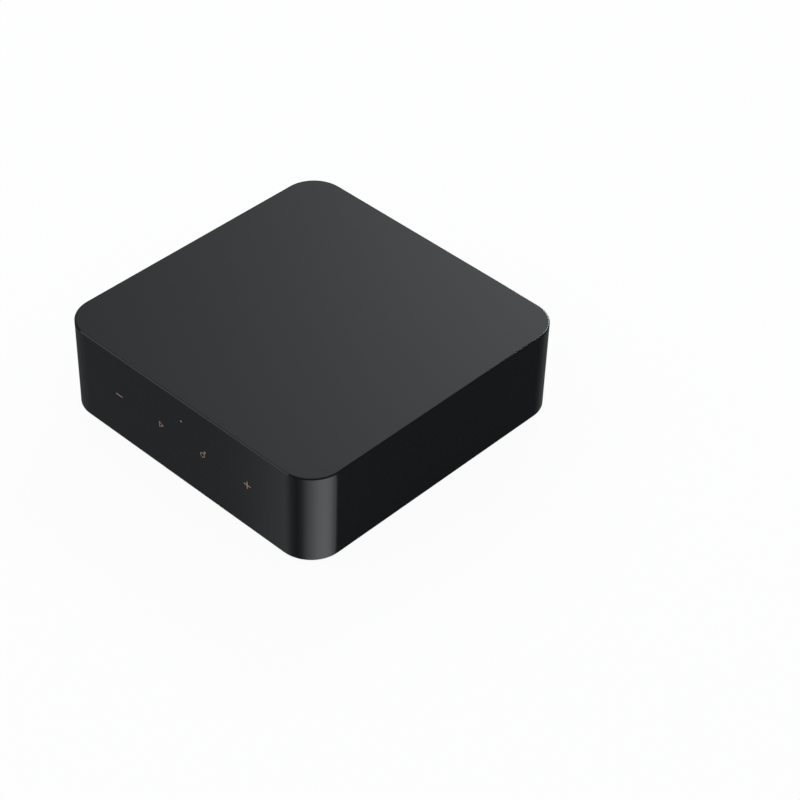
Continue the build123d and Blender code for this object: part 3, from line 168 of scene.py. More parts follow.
# Capacitors: aluminium cans, drawn from sheet and crimped onto black moulded bases, which are soldered
# to the board. The drawing leaves fine rings round each bright can.
BASE_HEIGHT, DRAW_RINGS = 0.8e-3, 0.6e-3
WAVE_LENGTH = 2 * math.pi / 20  # of one band of a wave texture at scale 1
base_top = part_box("main_board")[1].z + BASE_HEIGHT
can = start("drawn_aluminium_can")
place = add(can, "ShaderNodeTexCoord").outputs["Object"]
axes = add(can, "ShaderNodeSeparateXYZ", {"Vector": place})
is_can = add(can, "ShaderNodeMath", {0: axes.outputs["Z"], 1: base_top}, operation="GREATER_THAN")
rings = add(can, "ShaderNodeTexWave", {"Vector": place, "Scale": WAVE_LENGTH / DRAW_RINGS, "Distortion": 1.5},
            bands_direction="Z")
shade = add(can, "ShaderNodeMix", {"Factor": is_can.outputs["Value"], "A": linear("#161617"),
                                   "B": linear("#c9cacc")}, data_type="RGBA")
polish = add(can, "ShaderNodeMapRange", {"Value": rings.outputs["Fac"], "To Min": 0.26, "To Max": 0.36})
add(can, "ShaderNodeBsdfPrincipled", {
    "Base Color": shade.outputs["Result"], "Metallic": is_can.outputs["Value"],
    "Roughness": polish.outputs["Result"]})
give(can, "capacitors")

# Inductors: copper wire pressed into iron powder and soldered by two flat ends. The pressed powder is
# dark grey and a little sparkling.
POWDER_GRAIN = 0.6e-3
iron_powder = start("pressed_iron_powder")
place = add(iron_powder, "ShaderNodeTexCoord").outputs["Object"]
powder = add(iron_powder, "ShaderNodeTexNoise", {"Vector": place, "Scale": 1 / POWDER_GRAIN, "Detail": 5.0})
shade = add(iron_powder, "ShaderNodeMix", {"Factor": powder.outputs["Fac"], "A": linear("#2f3031"),
                                           "B": linear("#4c4d4f")}, data_type="RGBA")
add(iron_powder, "ShaderNodeBsdfPrincipled", {
    "Base Color": shade.outputs["Result"], "Metallic": 0.25, "Roughness": 0.55})
give(iron_powder, "inductors")

# Chip resistors and capacitors: small blocks of fired ceramic, soldered flat on the board. The glaze is
# tan and slightly uneven.
GLAZE_MOTTLE = 1.7e-3
ceramic = start("fired_ceramic")
place = add(ceramic, "ShaderNodeTexCoord").outputs["Object"]
mottle = add(ceramic, "ShaderNodeTexNoise", {"Vector": place, "Scale": 1 / GLAZE_MOTTLE, "Detail": 2.0})
shade = add(ceramic, "ShaderNodeMix", {"Factor": mottle.outputs["Fac"], "A": linear("#8a6a45"),
                                       "B": linear("#a5845a")}, data_type="RGBA")
add(ceramic, "ShaderNodeBsdfPrincipled", {
    "Base Color": shade.outputs["Result"], "Roughness": 0.4, "IOR": 1.7})
give(ceramic, "chip_parts")

# Radio can, crystal cans and board screws: steel sheet folded or drawn, and steel wire headed and
# rolled, all nickel plated. The plating is bright, with faint rolling lines and the haze of handling.
ROLLING_LINES, ROLLING_STRETCH, HANDLING_HAZE = 0.24e-3, 0.05, 4.5e-3
nickel = start("nickel_plated_steel")
place = add(nickel, "ShaderNodeTexCoord").outputs["Object"]
along = add(nickel, "ShaderNodeMapping", {"Vector": place, "Scale": (1.0, ROLLING_STRETCH, 1.0)})
rolled = add(nickel, "ShaderNodeTexNoise", {"Vector": along.outputs["Vector"], "Scale": 1 / ROLLING_LINES,
                                            "Detail": 3.0})
haze = add(nickel, "ShaderNodeTexNoise", {"Vector": place, "Scale": 1 / HANDLING_HAZE, "Detail": 3.0})
both = add(nickel, "ShaderNodeMath", {0: rolled.outputs["Fac"], 1: haze.outputs["Fac"]},
           operation="MULTIPLY")
polish = add(nickel, "ShaderNodeMapRange", {"Value": both.outputs["Value"], "To Min": 0.16, "To Max": 0.38})
shade = add(nickel, "ShaderNodeMix", {"Factor": haze.outputs["Fac"], "A": linear("#bdbbb4"),
                                      "B": linear("#d1cfca")}, data_type="RGBA")
relief = add(nickel, "ShaderNodeBump", {"Height": rolled.outputs["Fac"], "Strength": 0.12,
                                        "Distance": 1e-5})
add(nickel, "ShaderNodeBsdfPrincipled", {
    "Base Color": shade.outputs["Result"], "Metallic": 1.0, "Roughness": polish.outputs["Result"],
    "Normal": relief.outputs["Normal"]})
give(nickel, "radio_shield", "crystals", "board_screws")

# Aerial leads: thin coaxial cable with a black fluoropolymer sleeve, run between the radio board and
# the aerials. The sleeve is extruded, smooth and waxy.
WAXY_MOTTLE = 3.8e-3
sleeve = start("fluoropolymer_sleeve")
place = add(sleeve, "ShaderNodeTexCoord").outputs["Object"]
mottle = add(sleeve, "ShaderNodeTexNoise", {"Vector": place, "Scale": 1 / WAXY_MOTTLE, "Detail": 2.0})
sheen = add(sleeve, "ShaderNodeMapRange", {"Value": mottle.outputs["Fac"], "To Min": 0.25, "To Max": 0.4})
shade = add(sleeve, "ShaderNodeMix", {"Factor": mottle.outputs["Fac"], "A": linear("#171718"),
                                      "B": linear("#202021")}, data_type="RGBA")
add(sleeve, "ShaderNodeBsdfPrincipled", {
    "Base Color": shade.outputs["Result"], "Roughness": sheen.outputs["Result"], "IOR": 1.38})
give(sleeve, "aerial_leads")

# Phono barrels and centre contacts, and the aerial plugs: brass, turned or rolled, and gold plated.
# Turning leaves rings round each barrel's axis, which are drawn coarser here so that they show.
TURNING_RINGS, PLATING_MOTTLE = 1.13e-3, 3.1e-3
gold = start("gold_plated_brass")
place = add(gold, "ShaderNodeTexCoord").outputs["Object"]
rings = add(gold, "ShaderNodeTexWave", {"Vector": place, "Scale": WAVE_LENGTH / TURNING_RINGS,
                                        "Distortion": 0.6, "Detail": 2.0}, bands_direction="Y")
mottle = add(gold, "ShaderNodeTexNoise", {"Vector": place, "Scale": 1 / PLATING_MOTTLE, "Detail": 4.0})
shade = add(gold, "ShaderNodeMix", {"Factor": mottle.outputs["Fac"], "A": linear("#d9a94f"),
                                    "B": linear("#e8c274")}, data_type="RGBA")
polish = add(gold, "ShaderNodeMapRange", {"Value": rings.outputs["Fac"], "To Min": 0.14, "To Max": 0.26})
relief = add(gold, "ShaderNodeBump", {"Height": rings.outputs["Fac"], "Strength": 0.2, "Distance": 8e-6})
add(gold, "ShaderNodeBsdfPrincipled", {
    "Base Color": shade.outputs["Result"], "Metallic": 1.0, "Roughness": polish.outputs["Result"],
    "Normal": relief.outputs["Normal"]})
give(gold, "phono_barrels", "phono_contacts", "aerial_plugs")

# Insulators of the phono sockets: polypropylene rings, pressed into the barrels, white for left, red for
# right and orange for the digital output. Moulding leaves a soft sheen and slight flow marks.
RING_COLOURS = (("white", "#d9d8d2", "#ebeae5", "left_insulators"),
                ("red", "#8f1210", "#a81c18", "right_insulators"),
                ("orange", "#c95f12", "#dd7420", "coax_insulator"))
FLOW_MARKS = 2.5e-3
for colour_name, darker, lighter, node_name in RING_COLOURS:
    polypropylene = start(f"{colour_name}_polypropylene")
    place = add(polypropylene, "ShaderNodeTexCoord").outputs["Object"]
    flow = add(polypropylene, "ShaderNodeTexNoise", {"Vector": place, "Scale": 1 / FLOW_MARKS,
                                                     "Detail": 3.0})
    shade = add(polypropylene, "ShaderNodeMix", {"Factor": flow.outputs["Fac"], "A": linear(darker),
                                                 "B": linear(lighter)}, data_type="RGBA")
    add(polypropylene, "ShaderNodeBsdfPrincipled", {
        "Base Color": shade.outputs["Result"], "Roughness": 0.38, "IOR": 1.49})
    give(polypropylene, node_name)

# Socket bodies: the blocks of the phono sockets and the optical housings, moulded in black nylon with
# glass fibre and soldered by their pins. The fibres leave them matt, with a faint mottle.
FIBRE_MOTTLE = 0.36e-3
socket_black = start("glass_filled_nylon")
place = add(socket_black, "ShaderNodeTexCoord").outputs["Object"]
fibres = add(socket_black, "ShaderNodeTexNoise", {"Vector": place, "Scale": 1 / FIBRE_MOTTLE,
                                                  "Detail": 4.0, "Roughness": 0.6})
shade = add(socket_black, "ShaderNodeMix", {"Factor": fibres.outputs["Fac"], "A": linear("#101011"),
                                            "B": linear("#1b1b1c")}, data_type="RGBA")
sheen = add(socket_black, "ShaderNodeMapRange", {"Value": fibres.outputs["Fac"], "To Min": 0.42,
                                                 "To Max": 0.58})
relief = add(socket_black, "ShaderNodeBump", {"Height": fibres.outputs["Fac"], "Strength": 0.25,
                                              "Distance": 2e-5})
add(socket_black, "ShaderNodeBsdfPrincipled", {
    "Base Color": shade.outputs["Result"], "Roughness": sheen.outputs["Result"], "IOR": 1.54,
    "Normal": relief.outputs["Normal"]})
give(socket_black, "line_in_block", "line_out_block", "coax_block", "optical_in_housing",
     "optical_out_housing")

# Optical shutters and their pins: small flaps moulded in dark grey acetal, which swing on steel pins
# with the bright plating of the radio can. The flaps are smoother and lighter than their housings.
ACETAL_FLOW = 2.2e-3
acetal = start("dark_grey_acetal")
place = add(acetal, "ShaderNodeTexCoord").outputs["Object"]
flow = add(acetal, "ShaderNodeTexNoise", {"Vector": place, "Scale": 1 / ACETAL_FLOW, "Detail": 2.0})
shade = add(acetal, "ShaderNodeMix", {"Factor": flow.outputs["Fac"], "A": linear("#2a2a2c"),
                                      "B": linear("#343436")}, data_type="RGBA")
add(acetal, "ShaderNodeBsdfPrincipled", {
    "Base Color": shade.outputs["Result"], "Roughness": 0.32, "IOR": 1.48})
give(acetal, "optical_in_shutter", "optical_out_shutter")
give(nickel, "optical_in_pin", "optical_out_pin")

# Light modules behind the optical sockets: a chip cast in clear, dark red resin, with its feet in the
# board. The resin is smooth and glossy, almost black until light falls in.
RESIN_CLOUDS = 3.3e-3
cast_resin = start("cast_dark_resin")
place = add(cast_resin, "ShaderNodeTexCoord").outputs["Object"]
clouds = add(cast_resin, "ShaderNodeTexNoise", {"Vector": place, "Scale": 1 / RESIN_CLOUDS, "Detail": 2.0})
shade = add(cast_resin, "ShaderNodeMix", {"Factor": clouds.outputs["Fac"], "A": linear("#1c0f14"),
                                          "B": linear("#2a151c")}, data_type="RGBA")
add(cast_resin, "ShaderNodeBsdfPrincipled", {
    "Base Color": shade.outputs["Result"], "Roughness": 0.12, "IOR": 1.55})
give(cast_resin, "optical_in_receiver", "optical_out_emitter")


# Torsion springs of the shutters: hard-drawn steel wire, wound three turns round each pin. The upper leg
# bears on the housing's ceiling, and the lower leg presses the shutter shut and swings with it.
def wire_tube(name, path, radius, sides):
    """A closed tube of wire. Each point of the path carries a ring of that radius, square to the path. The
    ring starts from the part of the X axis that is square to the path there, so the tube doesn't twist."""
    forward = np.gradient(path, axis=0)
    forward /= np.linalg.norm(forward, axis=1, keepdims=True)
    side = np.array([1.0, 0.0, 0.0]) - forward * forward[:, :1]
    side /= np.linalg.norm(side, axis=1, keepdims=True)
    up = np.cross(forward, side)
    turn = np.linspace(0, 2 * np.pi, sides, endpoint=False)[None, :, None]
    points = path[:, None] + radius * (np.cos(turn) * side[:, None] + np.sin(turn) * up[:, None])
    i, j = np.meshgrid(np.arange(len(path) - 1), np.arange(sides), indexing="ij")
    k = (j + 1) % sides
    quads = np.stack([i * sides + j, i * sides + k, (i + 1) * sides + k, (i + 1) * sides + j], -1)
    last = (len(path) - 1) * sides
    ends = [tuple(range(sides - 1, -1, -1)), tuple(range(last, last + sides))]
    mesh = bpy.data.meshes.new(name)
    mesh.from_pydata(points.reshape(-1, 3).tolist(), [], quads.reshape(-1, 4).tolist() + ends)
    mesh.polygons.foreach_set("use_smooth", np.ones(len(mesh.polygons), bool))
    piece = bpy.data.objects.new(name, mesh)
    bpy.context.scene.collection.objects.link(piece)
    return piece


COIL_RADIUS, WIRE_RADIUS, COIL_PITCH, TURNS = 0.8e-3, 0.125e-3, 0.75e-3, 3
UPPER_LEG_RISE, UPPER_LEG_REACH, LEG_BEND, LOWER_LEG = 1.02e-3, 2.2e-3, 0.4e-3, 3.0e-3
BLEND_FROM, BLEND_TO, DRAWING_MARKS = 0.2e-3, 1.4e-3, 0.7e-3
WIRE_SIDES, TURN_STEPS, BEND_POINTS, LEG_POINTS = 12, 24, 7, 12
spring_wire = start("spring_steel_wire")
place = add(spring_wire, "ShaderNodeTexCoord").outputs["Object"]
drawn = add(spring_wire, "ShaderNodeTexNoise", {"Vector": place, "Scale": 1 / DRAWING_MARKS, "Detail": 2.0})
polish = add(spring_wire, "ShaderNodeMapRange", {"Value": drawn.outputs["Fac"], "To Min": 0.2,
                                                 "To Max": 0.35})
shade = add(spring_wire, "ShaderNodeMix", {"Factor": drawn.outputs["Fac"], "A": linear("#9d9c99"),
                                           "B": linear("#b4b3b0")}, data_type="RGBA")
add(spring_wire, "ShaderNodeBsdfPrincipled", {
    "Base Color": shade.outputs["Result"], "Metallic": 1.0, "Roughness": polish.outputs["Result"]})

for socket_name in ("optical_in", "optical_out"):
    hinge = next(j for j in frame["joints"] if j["child"] == f"{socket_name}_flap")
    x, y, z = hinge["pos_m"]
    first_x, leg_y = x - COIL_PITCH * TURNS / 2, y - COIL_RADIUS
    bend = np.linspace(0, np.pi / 2, BEND_POINTS)
    bent = np.stack([np.full(BEND_POINTS, first_x), leg_y - LEG_BEND + LEG_BEND * np.sin(bend),
                     z + UPPER_LEG_RISE - LEG_BEND + LEG_BEND * np.cos(bend)], 1)
    tip = np.array([[first_x, leg_y - UPPER_LEG_REACH, z + UPPER_LEG_RISE]])
    turn = np.linspace(0, 2 * np.pi * TURNS, TURN_STEPS * TURNS + 1)
    coil = np.stack([first_x + COIL_PITCH * turn / (2 * np.pi), y - COIL_RADIUS * np.cos(turn),
                     z - COIL_RADIUS * np.sin(turn)], 1)
    lower = coil[-1] - np.linspace(0.1, 1, LEG_POINTS)[:, None] * np.array([0, 0, LOWER_LEG])
    spring = wire_tube(f"{socket_name}_spring_wire", np.concatenate([tip, bent, coil, lower]),
                       WIRE_RADIUS, WIRE_SIDES)
    spring.data.materials.append(spring_wire)
    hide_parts(f"{socket_name}_spring")
    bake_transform(spring)

# Network socket: a black moulded body in a folded steel shield, with eight gold-plated spring contacts
# and two lights. The lights are blocks of milky resin that carry light to the front.
MILKY_CLOUDS = 2.0e-3
milky = start("milky_resin")
place = add(milky, "ShaderNodeTexCoord").outputs["Object"]
clouds = add(milky, "ShaderNodeTexNoise", {"Vector": place, "Scale": 1 / MILKY_CLOUDS, "Detail": 2.0})
shade = add(milky, "ShaderNodeMix", {"Factor": clouds.outputs["Fac"], "A": linear("#b9b39b"),
                                     "B": linear("#cdc8b2")}, data_type="RGBA")
add(milky, "ShaderNodeBsdfPrincipled", {
    "Base Color": shade.outputs["Result"], "Roughness": 0.2, "IOR": 1.55, "Transmission Weight": 0.25})
give(milky, "lan_lights")
give(nickel, "lan_shield")
give(socket_black, "lan_housing")
give(gold, "lan_contacts")

# Power and trigger sockets: a drawn steel shell round a black moulded tongue, and a black moulded jack
# body with stamped brass tabs. The tabs are tin plated, which is paler and duller than nickel.
TIN_BLOOM = 2.0e-3
tin = start("tin_plated_brass")
place = add(tin, "ShaderNodeTexCoord").outputs["Object"]
bloom = add(tin, "ShaderNodeTexNoise", {"Vector": place, "Scale": 1 / TIN_BLOOM, "Detail": 3.0})
polish = add(tin, "ShaderNodeMapRange", {"Value": bloom.outputs["Fac"], "To Min": 0.35, "To Max": 0.5})
shade = add(tin, "ShaderNodeMix", {"Factor": bloom.outputs["Fac"], "A": linear("#bfbfbc"),
                                   "B": linear("#d2d2cf")}, data_type="RGBA")
add(tin, "ShaderNodeBsdfPrincipled", {
    "Base Color": shade.outputs["Result"], "Metallic": 1.0, "Roughness": polish.outputs["Result"]})
give(tin, "trigger_tabs")
give(nickel, "power_shell")
give(socket_black, "power_tongue", "trigger_body")

# Rear panel and bottom cover: black ABS mouldings, the panel held by its flange and the cover by four
# screws. Their tools were spark-eroded, so they are matt all over, with a fine even grain.
SPARK_GRAIN = 0.6e-3
matt_abs = start("spark_textured_abs")
place = add(matt_abs, "ShaderNodeTexCoord").outputs["Object"]
grain = add(matt_abs, "ShaderNodeTexNoise", {"Vector": place, "Scale": 1 / SPARK_GRAIN, "Detail": 5.0,
                                             "Roughness": 0.65})
shade = add(matt_abs, "ShaderNodeMix", {"Factor": grain.outputs["Fac"], "A": linear("#161718"),
                                        "B": linear("#232425")}, data_type="RGBA")
sheen = add(matt_abs, "ShaderNodeMapRange", {"Value": grain.outputs["Fac"], "To Min": 0.5, "To Max": 0.66})
relief = add(matt_abs, "ShaderNodeBump", {"Height": grain.outputs["Fac"], "Strength": 0.4,
                                          "Distance": 4e-5})
add(matt_abs, "ShaderNodeBsdfPrincipled", {
    "Base Color": shade.outputs["Result"], "Roughness": sheen.outputs["Result"], "IOR": 1.53,
    "Normal": relief.outputs["Normal"]})
give(matt_abs, "rear_panel", "bottom_cover")

# Cover screws: steel wire, headed, with a rolled thread and black zinc plating. They sit in the cover's
# corners, under the foot ring, and are dark and dully metallic.
ZINC_MOTTLE = 2.0e-3
zinc = start("black_zinc_steel")
place = add(zinc, "ShaderNodeTexCoord").outputs["Object"]
mottle = add(zinc, "ShaderNodeTexNoise", {"Vector": place, "Scale": 1 / ZINC_MOTTLE, "Detail": 3.0})
polish = add(zinc, "ShaderNodeMapRange", {"Value": mottle.outputs["Fac"], "To Min": 0.3, "To Max": 0.45})
shade = add(zinc, "ShaderNodeMix", {"Factor": mottle.outputs["Fac"], "A": linear("#35363a"),
                                    "B": linear("#434447")}, data_type="RGBA")
add(zinc, "ShaderNodeBsdfPrincipled", {
    "Base Color": shade.outputs["Result"], "Metallic": 1.0, "Roughness": polish.outputs["Result"]})
give(zinc, "cover_screws")

# Foot ring: silicone rubber, moulded and glued into the cover's groove so that it hides the screws.
# It is the most matt surface of all, with a fine dimpled grain that grips.
RUBBER_DIMPLES = 0.5e-3
rubber = start("silicone_rubber")
place = add(rubber, "ShaderNodeTexCoord").outputs["Object"]
dimples = add(rubber, "ShaderNodeTexVoronoi", {"Vector": place, "Scale": 1 / RUBBER_DIMPLES})
shade = add(rubber, "ShaderNodeMix", {"Factor": dimples.outputs["Distance"], "A": linear("#141414"),
                                      "B": linear("#212121")}, data_type="RGBA")
relief = add(rubber, "ShaderNodeBump", {"Height": dimples.outputs["Distance"], "Strength": 0.3,
                                        "Distance": 3e-5})
add(rubber, "ShaderNodeBsdfPrincipled", {
    "Base Color": shade.outputs["Result"], "Roughness": 0.78, "IOR": 1.42,
    "Normal": relief.outputs["Normal"]})
give(rubber, "foot_ring")

# Side shell: the four walls in one piece of dark ABS, moulded in a polished tool. It is smooth and satin,
# and slightly uneven as moulded walls are, so that reflections in it are soft but keep their edges.
WALL_FLOW, WALL_GRAIN = 18.0e-3, 0.3e-3
satin_abs = start("satin_abs")
place = add(satin_abs, "ShaderNodeTexCoord").outputs["Object"]
grain = add(satin_abs, "ShaderNodeTexNoise", {"Vector": place, "Scale": 1 / WALL_GRAIN, "Detail": 3.0})
flow = add(satin_abs, "ShaderNodeTexNoise", {"Vector": place, "Scale": 1 / WALL_FLOW, "Detail": 2.0})
shade = add(satin_abs, "ShaderNodeMix", {"Factor": grain.outputs["Fac"], "A": linear("#121315"),
                                         "B": linear("#151618")}, data_type="RGBA")
sheen = add(satin_abs, "ShaderNodeMapRange", {"Value": flow.outputs["Fac"], "To Min": 0.08, "To Max": 0.11})
relief = add(satin_abs, "ShaderNodeBump", {"Height": grain.outputs["Fac"], "Strength": 0.04,
                                           "Distance": 5e-6})
add(satin_abs, "ShaderNodeBsdfPrincipled", {
    "Base Color": shade.outputs["Result"], "Roughness": sheen.outputs["Result"], "IOR": 1.5,
    "Normal": relief.outputs["Normal"]})
give(satin_abs, "side_shell")

# Marks of the touch keys: copper-coloured ink with fine metal flakes, printed on the front wall and cured.
# It is brighter than the wall all over, and its cover is slightly uneven.
INK_MOTTLE = 0.7e-3
ink = start("copper_flake_ink")
place = add(ink, "ShaderNodeTexCoord").outputs["Object"]
mottle = add(ink, "ShaderNodeTexNoise", {"Vector": place, "Scale": 1 / INK_MOTTLE, "Detail": 2.0})
shade = add(ink, "ShaderNodeMix", {"Factor": mottle.outputs["Fac"], "A": linear("#9d7e6e"),
                                   "B": linear("#b39180")}, data_type="RGBA")
add(ink, "ShaderNodeBsdfPrincipled", {"Base Color": shade.outputs["Result"], "Roughness": 0.45, "IOR": 1.5})
give(ink, "front_marks")

# Light lens and the light behind it: a clear polycarbonate pin, pressed into the wall, and a light cast
# in clear resin on the touch board. They are lit, but only just: a small pale green point.
LENS_CLOUDS = 1.2e-3
lens = start("clear_polycarbonate")
place = add(lens, "ShaderNodeTexCoord").outputs["Object"]
clouds = add(lens, "ShaderNodeTexNoise", {"Vector": place, "Scale": 1 / LENS_CLOUDS})
glow = add(lens, "ShaderNodeMix", {"Factor": clouds.outputs["Fac"], "A": linear("#548357"),
                                   "B": linear("#619464")}, data_type="RGBA")
add(lens, "ShaderNodeBsdfPrincipled", {
    "Base Color": glow.outputs["Result"], "Roughness": 0.15, "IOR": 1.58,
    "Emission Color": glow.outputs["Result"], "Emission Strength": 0.095})
give(lens, "light_lens", "status_light")

# Touch board behind the front wall, with its tape, chip and cable. The cable is copper strip between
# two white polyester films, and the strips show through the film as faint lines.
CABLE_PITCH = 0.5e-3
film = start("polyester_film")
place = add(film, "ShaderNodeTexCoord").outputs["Object"]
strips = add(film, "ShaderNodeTexWave", {"Vector": place, "Scale": WAVE_LENGTH / CABLE_PITCH},
             bands_direction="X")
shade = add(film, "ShaderNodeMix", {"Factor": strips.outputs["Fac"], "A": linear("#cfcdc6"),
                                    "B": linear("#e8e7e2")}, data_type="RGBA")
add(film, "ShaderNodeBsdfPrincipled", {"Base Color": shade.outputs["Result"], "Roughness": 0.3, "IOR": 1.6})
give(film, "touch_cable")
give(black_resist, "touch_board")
give(epoxy, "touch_chip")

# Sockets of the touch board's cable: ivory nylon, moulded round tinned contacts and soldered down at
# each end. Nylon has a soft sheen and small flow marks.
NYLON_FLOW = 2.9e-3
nylon = start("ivory_nylon")
place = add(nylon, "ShaderNodeTexCoord").outputs["Object"]
flow = add(nylon, "ShaderNodeTexNoise", {"Vector": place, "Scale": 1 / NYLON_FLOW, "Detail": 3.0})
shade = add(nylon, "ShaderNodeMix", {"Factor": flow.outputs["Fac"], "A": linear("#d9d2bd"),
                                     "B": linear("#e6e0cd")}, data_type="RGBA")
add(nylon, "ShaderNodeBsdfPrincipled", {
    "Base Color": shade.outputs["Result"], "Roughness": 0.45, "IOR": 1.53})
give(nylon, "cable_sockets")

# Tapes: black acrylic adhesive film, die cut. One holds the touch board to the wall, and one, a thin
# frame, holds the top plate on its ledge. The film is dull and very slightly wrinkled.
TAPE_WRINKLES = 5.5e-3
tape = start("acrylic_tape")
place = add(tape, "ShaderNodeTexCoord").outputs["Object"]
wrinkles = add(tape, "ShaderNodeTexNoise", {"Vector": place, "Scale": 1 / TAPE_WRINKLES, "Detail": 3.0})
sheen = add(tape, "ShaderNodeMapRange", {"Value": wrinkles.outputs["Fac"], "To Min": 0.5, "To Max": 0.7})
shade = add(tape, "ShaderNodeMix", {"Factor": wrinkles.outputs["Fac"], "A": linear("#0e0e0f"),
                                    "B": linear("#151516")}, data_type="RGBA")
add(tape, "ShaderNodeBsdfPrincipled", {
    "Base Color": shade.outputs["Result"], "Roughness": sheen.outputs["Result"], "IOR": 1.47})
give(tape, "touch_tape", "top_tape")

# Top plate: a separate moulding in dark grey ABS, taped onto the ledge inside the walls. Its tool had an
# even, very fine spark-eroded grain, so a lamp shows in it only as a wide, soft brightening.
TOP_GRAIN = 0.7e-3
top_abs = start("fine_grain_abs")
place = add(top_abs, "ShaderNodeTexCoord").outputs["Object"]
grain = add(top_abs, "ShaderNodeTexNoise", {"Vector": place, "Scale": 1 / TOP_GRAIN, "Detail": 5.0,
                                            "Roughness": 0.7})
shade = add(top_abs, "ShaderNodeMix", {"Factor": grain.outputs["Fac"], "A": linear("#1c1d1f"),
                                       "B": linear("#202123")}, data_type="RGBA")
sheen = add(top_abs, "ShaderNodeMapRange", {"Value": grain.outputs["Fac"], "To Min": 0.52, "To Max": 0.6})
relief = add(top_abs, "ShaderNodeBump", {"Height": grain.outputs["Fac"], "Strength": 0.25,
                                         "Distance": 1.2e-5})
add(top_abs, "ShaderNodeBsdfPrincipled", {
    "Base Color": shade.outputs["Result"], "Roughness": sheen.outputs["Result"], "IOR": 1.5,
    "Normal": relief.outputs["Normal"]})
give(top_abs, "top_plate")

# Floor: a wide white sheet. The camera sees it nearly white, and it keeps the box's soft shadow.
# Glossy surfaces see the studio's cards in its place.
FLOOR_HALF, WHITENESS = 3.0, 0.94
WHITE = (1.0, 1.0, 1.0, 1.0)
corners = FLOOR_HALF * np.array([(-1, -1, 0), (1, -1, 0), (1, 1, 0), (-1, 1, 0)])
sheet = bpy.data.meshes.new("studio_floor")
sheet.from_pydata(corners.tolist(), [], [(0, 1, 2, 3)])
floor = bpy.data.objects.new("studio_floor", sheet)
bpy.context.scene.collection.objects.link(floor)
floor.visible_glossy = False
paper = start("white_paper")
matt = add(paper, "ShaderNodeBsdfDiffuse", {"Color": linear("#f0f0f0")})
white = add(paper, "ShaderNodeEmission", {"Color": WHITE, "Strength": 1.0})
rays = add(paper, "ShaderNodeLightPath")
seen = add(paper, "ShaderNodeMath", {0: rays.outputs["Is Camera Ray"], 1: WHITENESS}, operation="MULTIPLY")
add(paper, "ShaderNodeMixShader", {0: seen.outputs["Value"], 1: matt.outputs["BSDF"],
                                   2: white.outputs["Emission"]})
sheet.materials.append(paper)

# Studio round the box. Matt surfaces are lit evenly by it, and the camera sees it white. Glossy surfaces
# see dim surroundings with cards in them, each a bearing in degrees, from the front towards +X, and the
# brightness there, in one ring well below the horizon and one above it, with LOW_LEVEL between them.
CARDS = ((-180, 0.14), (-158, 0.12), (-135, 0.08), (-110, 0.08), (-60, 0.155), (-52, 0.148),
         (-49.5, 0.138), (-47.6, 0.12), (-46.4, 0.43), (-43, 0.40), (-38, 0.37), (-30, 0.32),
         (-14, 0.16), (2, 0.085), (10, 0.155), (18, 0.26), (26.5, 0.57), (34.6, 0.86), (42.7, 1.10),
         (58.8, 1.55), (66.9, 1.79), (83, 1.84), (91, 1.80), (107, 1.33), (115, 0.86), (122.5, 0.64),
         (125.5, 0.08), (135, 0.066), (138.5, 0.048), (150, 0.055), (165, 0.13), (180, 0.14))
UPPER_CARDS = ((-180, 0.10), (-165, 0.16), (-150, 0.28), (-137, 0.38), (-127, 0.36), (-115, 0.12),
               (-100, 0.06), (165, 0.06), (180, 0.10))
BRIGHTEST, AMBIENT, LOW_LEVEL = 2.0, 0.75, 0.3
LOWER_BLEND, HORIZON_BLEND = (-0.5, -0.3), (0.0, 0.25)  # heights on a globe of radius 1
COOL = (0.93, 0.98, 1.0, 1.0)
world = bpy.data.worlds.new("studio")
bpy.context.scene.world = world
world.use_nodes = True
world.node_tree.nodes.clear()
add(world, "ShaderNodeOutputWorld")
axes = add(world, "ShaderNodeSeparateXYZ", {
    "Vector": add(world, "ShaderNodeTexCoord").outputs["Generated"]})
frontwards = add(world, "ShaderNodeMath", {0: axes.outputs["Y"], 1: -1.0}, operation="MULTIPLY")
bearing = add(world, "ShaderNodeMath", {0: axes.outputs["X"], 1: frontwards.outputs["Value"]},
              operation="ARCTAN2")
around = add(world, "ShaderNodeMapRange", {"Value": bearing.outputs["Value"], "From Min": -math.pi,
                                           "From Max": math.pi})
rings = []
for cards in (CARDS, UPPER_CARDS):
    ramp = add(world, "ShaderNodeValToRGB", {"Fac": around.outputs["Result"]})
    stops = ramp.color_ramp.elements
    for degrees, _ in cards[1:-1]:
        stops.new((degrees + 180) / 360)
    for stop, (_, brightness) in zip(stops, cards):
        stop.color = (*[brightness / BRIGHTEST] * 3, 1.0)
    rings.append(add(world, "ShaderNodeMath", {0: ramp.outputs["Color"], 1: BRIGHTEST},
                     operation="MULTIPLY").outputs["Value"])
past_lower = add(world, "ShaderNodeMapRange", {"Value": axes.outputs["Z"], "From Min": LOWER_BLEND[0],
                                               "From Max": LOWER_BLEND[1]})
low = add(world, "ShaderNodeMix", {"Factor": past_lower.outputs["Result"], "A": rings[0],
                                   "B": LOW_LEVEL}, data_type="FLOAT")
above = add(world, "ShaderNodeMapRange", {"Value": axes.outputs["Z"], "From Min": HORIZON_BLEND[0],
                                          "From Max": HORIZON_BLEND[1]})
seen = add(world, "ShaderNodeMix", {"Factor": above.outputs["Result"], "A": low.outputs["Result"],
                                    "B": rings[1]}, data_type="FLOAT")
rays = add(world, "ShaderNodeLightPath")
level = add(world, "ShaderNodeMix", {"Factor": rays.outputs["Is Glossy Ray"], "A": AMBIENT,
                                     "B": seen.outputs["Result"]}, data_type="FLOAT")
strength = add(world, "ShaderNodeMix", {"Factor": rays.outputs["Is Camera Ray"],
                                        "A": level.outputs["Result"], "B": 1.0}, data_type="FLOAT")
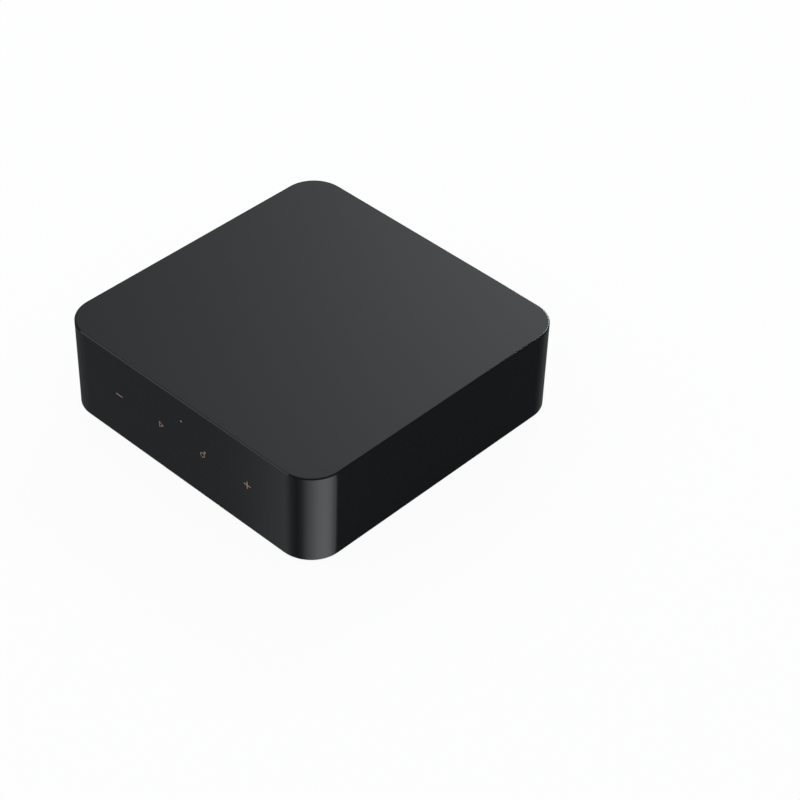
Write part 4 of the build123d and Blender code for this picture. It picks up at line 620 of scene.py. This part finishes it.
tint = add(world, "ShaderNodeMix", {"Factor": rays.outputs["Is Camera Ray"], "A": COOL,
                                    "B": WHITE}, data_type="RGBA")
add(world, "ShaderNodeBackground", {"Color": tint.outputs["Result"], "Strength": strength.outputs["Result"]})


# Lamps: two soft boxes, one behind for the sheen on the top and one in front for the upper edge.
def soft_box(name, bearing_deg, height_deg, distance, size, watts):
    """A square area lamp at that bearing and height angle, that far from the box's middle and facing it."""
    lamp = bpy.data.lights.new(name, "AREA")
    lamp.shape = "SQUARE"
    lamp.size = size
    lamp.energy = watts
    lamp.color = COOL[:3]
    turn, rise = math.radians(bearing_deg), math.radians(height_deg)
    away = np.array([math.sin(turn) * math.cos(rise), -math.cos(turn) * math.cos(rise), math.sin(rise)])
    right = np.cross((0, 0, 1), away)
    right /= np.linalg.norm(right)
    spot = away * distance
    holder = bpy.data.objects.new(name, lamp)
    bpy.context.scene.collection.objects.link(holder)
    holder.visible_camera = False
    columns = np.stack([right, np.cross(away, right), away, spot], 1)
    holder.matrix_world = Matrix([*columns.tolist(), [0, 0, 0, 1]])


soft_box("back_box", bearing_deg=208, height_deg=34.7, distance=1.16, size=0.2, watts=2.82)
soft_box("front_left_box", bearing_deg=-38, height_deg=36, distance=1.3, size=0.7, watts=1.4)

# Camera, where the photograph was taken from, 0.95 m away.
CAMERA_PLACE = (0.51978, -0.51481, 0.63099)
CAMERA_RIGHT = (0.72143, 0.69199, 0.02606)
CAMERA_UP = (-0.46619, 0.45751, 0.75720)
CAMERA_BACK = (0.51205, -0.55842, 0.65267)
FOCAL_PIXELS, IMAGE_WIDTH, SENSOR_WIDTH, NEAREST = 2397.24, 800, 36.0, 0.05
eye = bpy.data.cameras.new("camera")
eye.sensor_width = SENSOR_WIDTH
eye.lens = FOCAL_PIXELS * SENSOR_WIDTH / IMAGE_WIDTH
eye.clip_start = NEAREST
camera = bpy.data.objects.new("camera", eye)
bpy.context.scene.collection.objects.link(camera)
columns = np.stack([CAMERA_RIGHT, CAMERA_UP, CAMERA_BACK, CAMERA_PLACE], 1)
camera.matrix_world = Matrix([*columns.tolist(), [0, 0, 0, 1]])
bpy.context.scene.camera = camera
bpy.context.scene.view_settings.view_transform = "Standard"
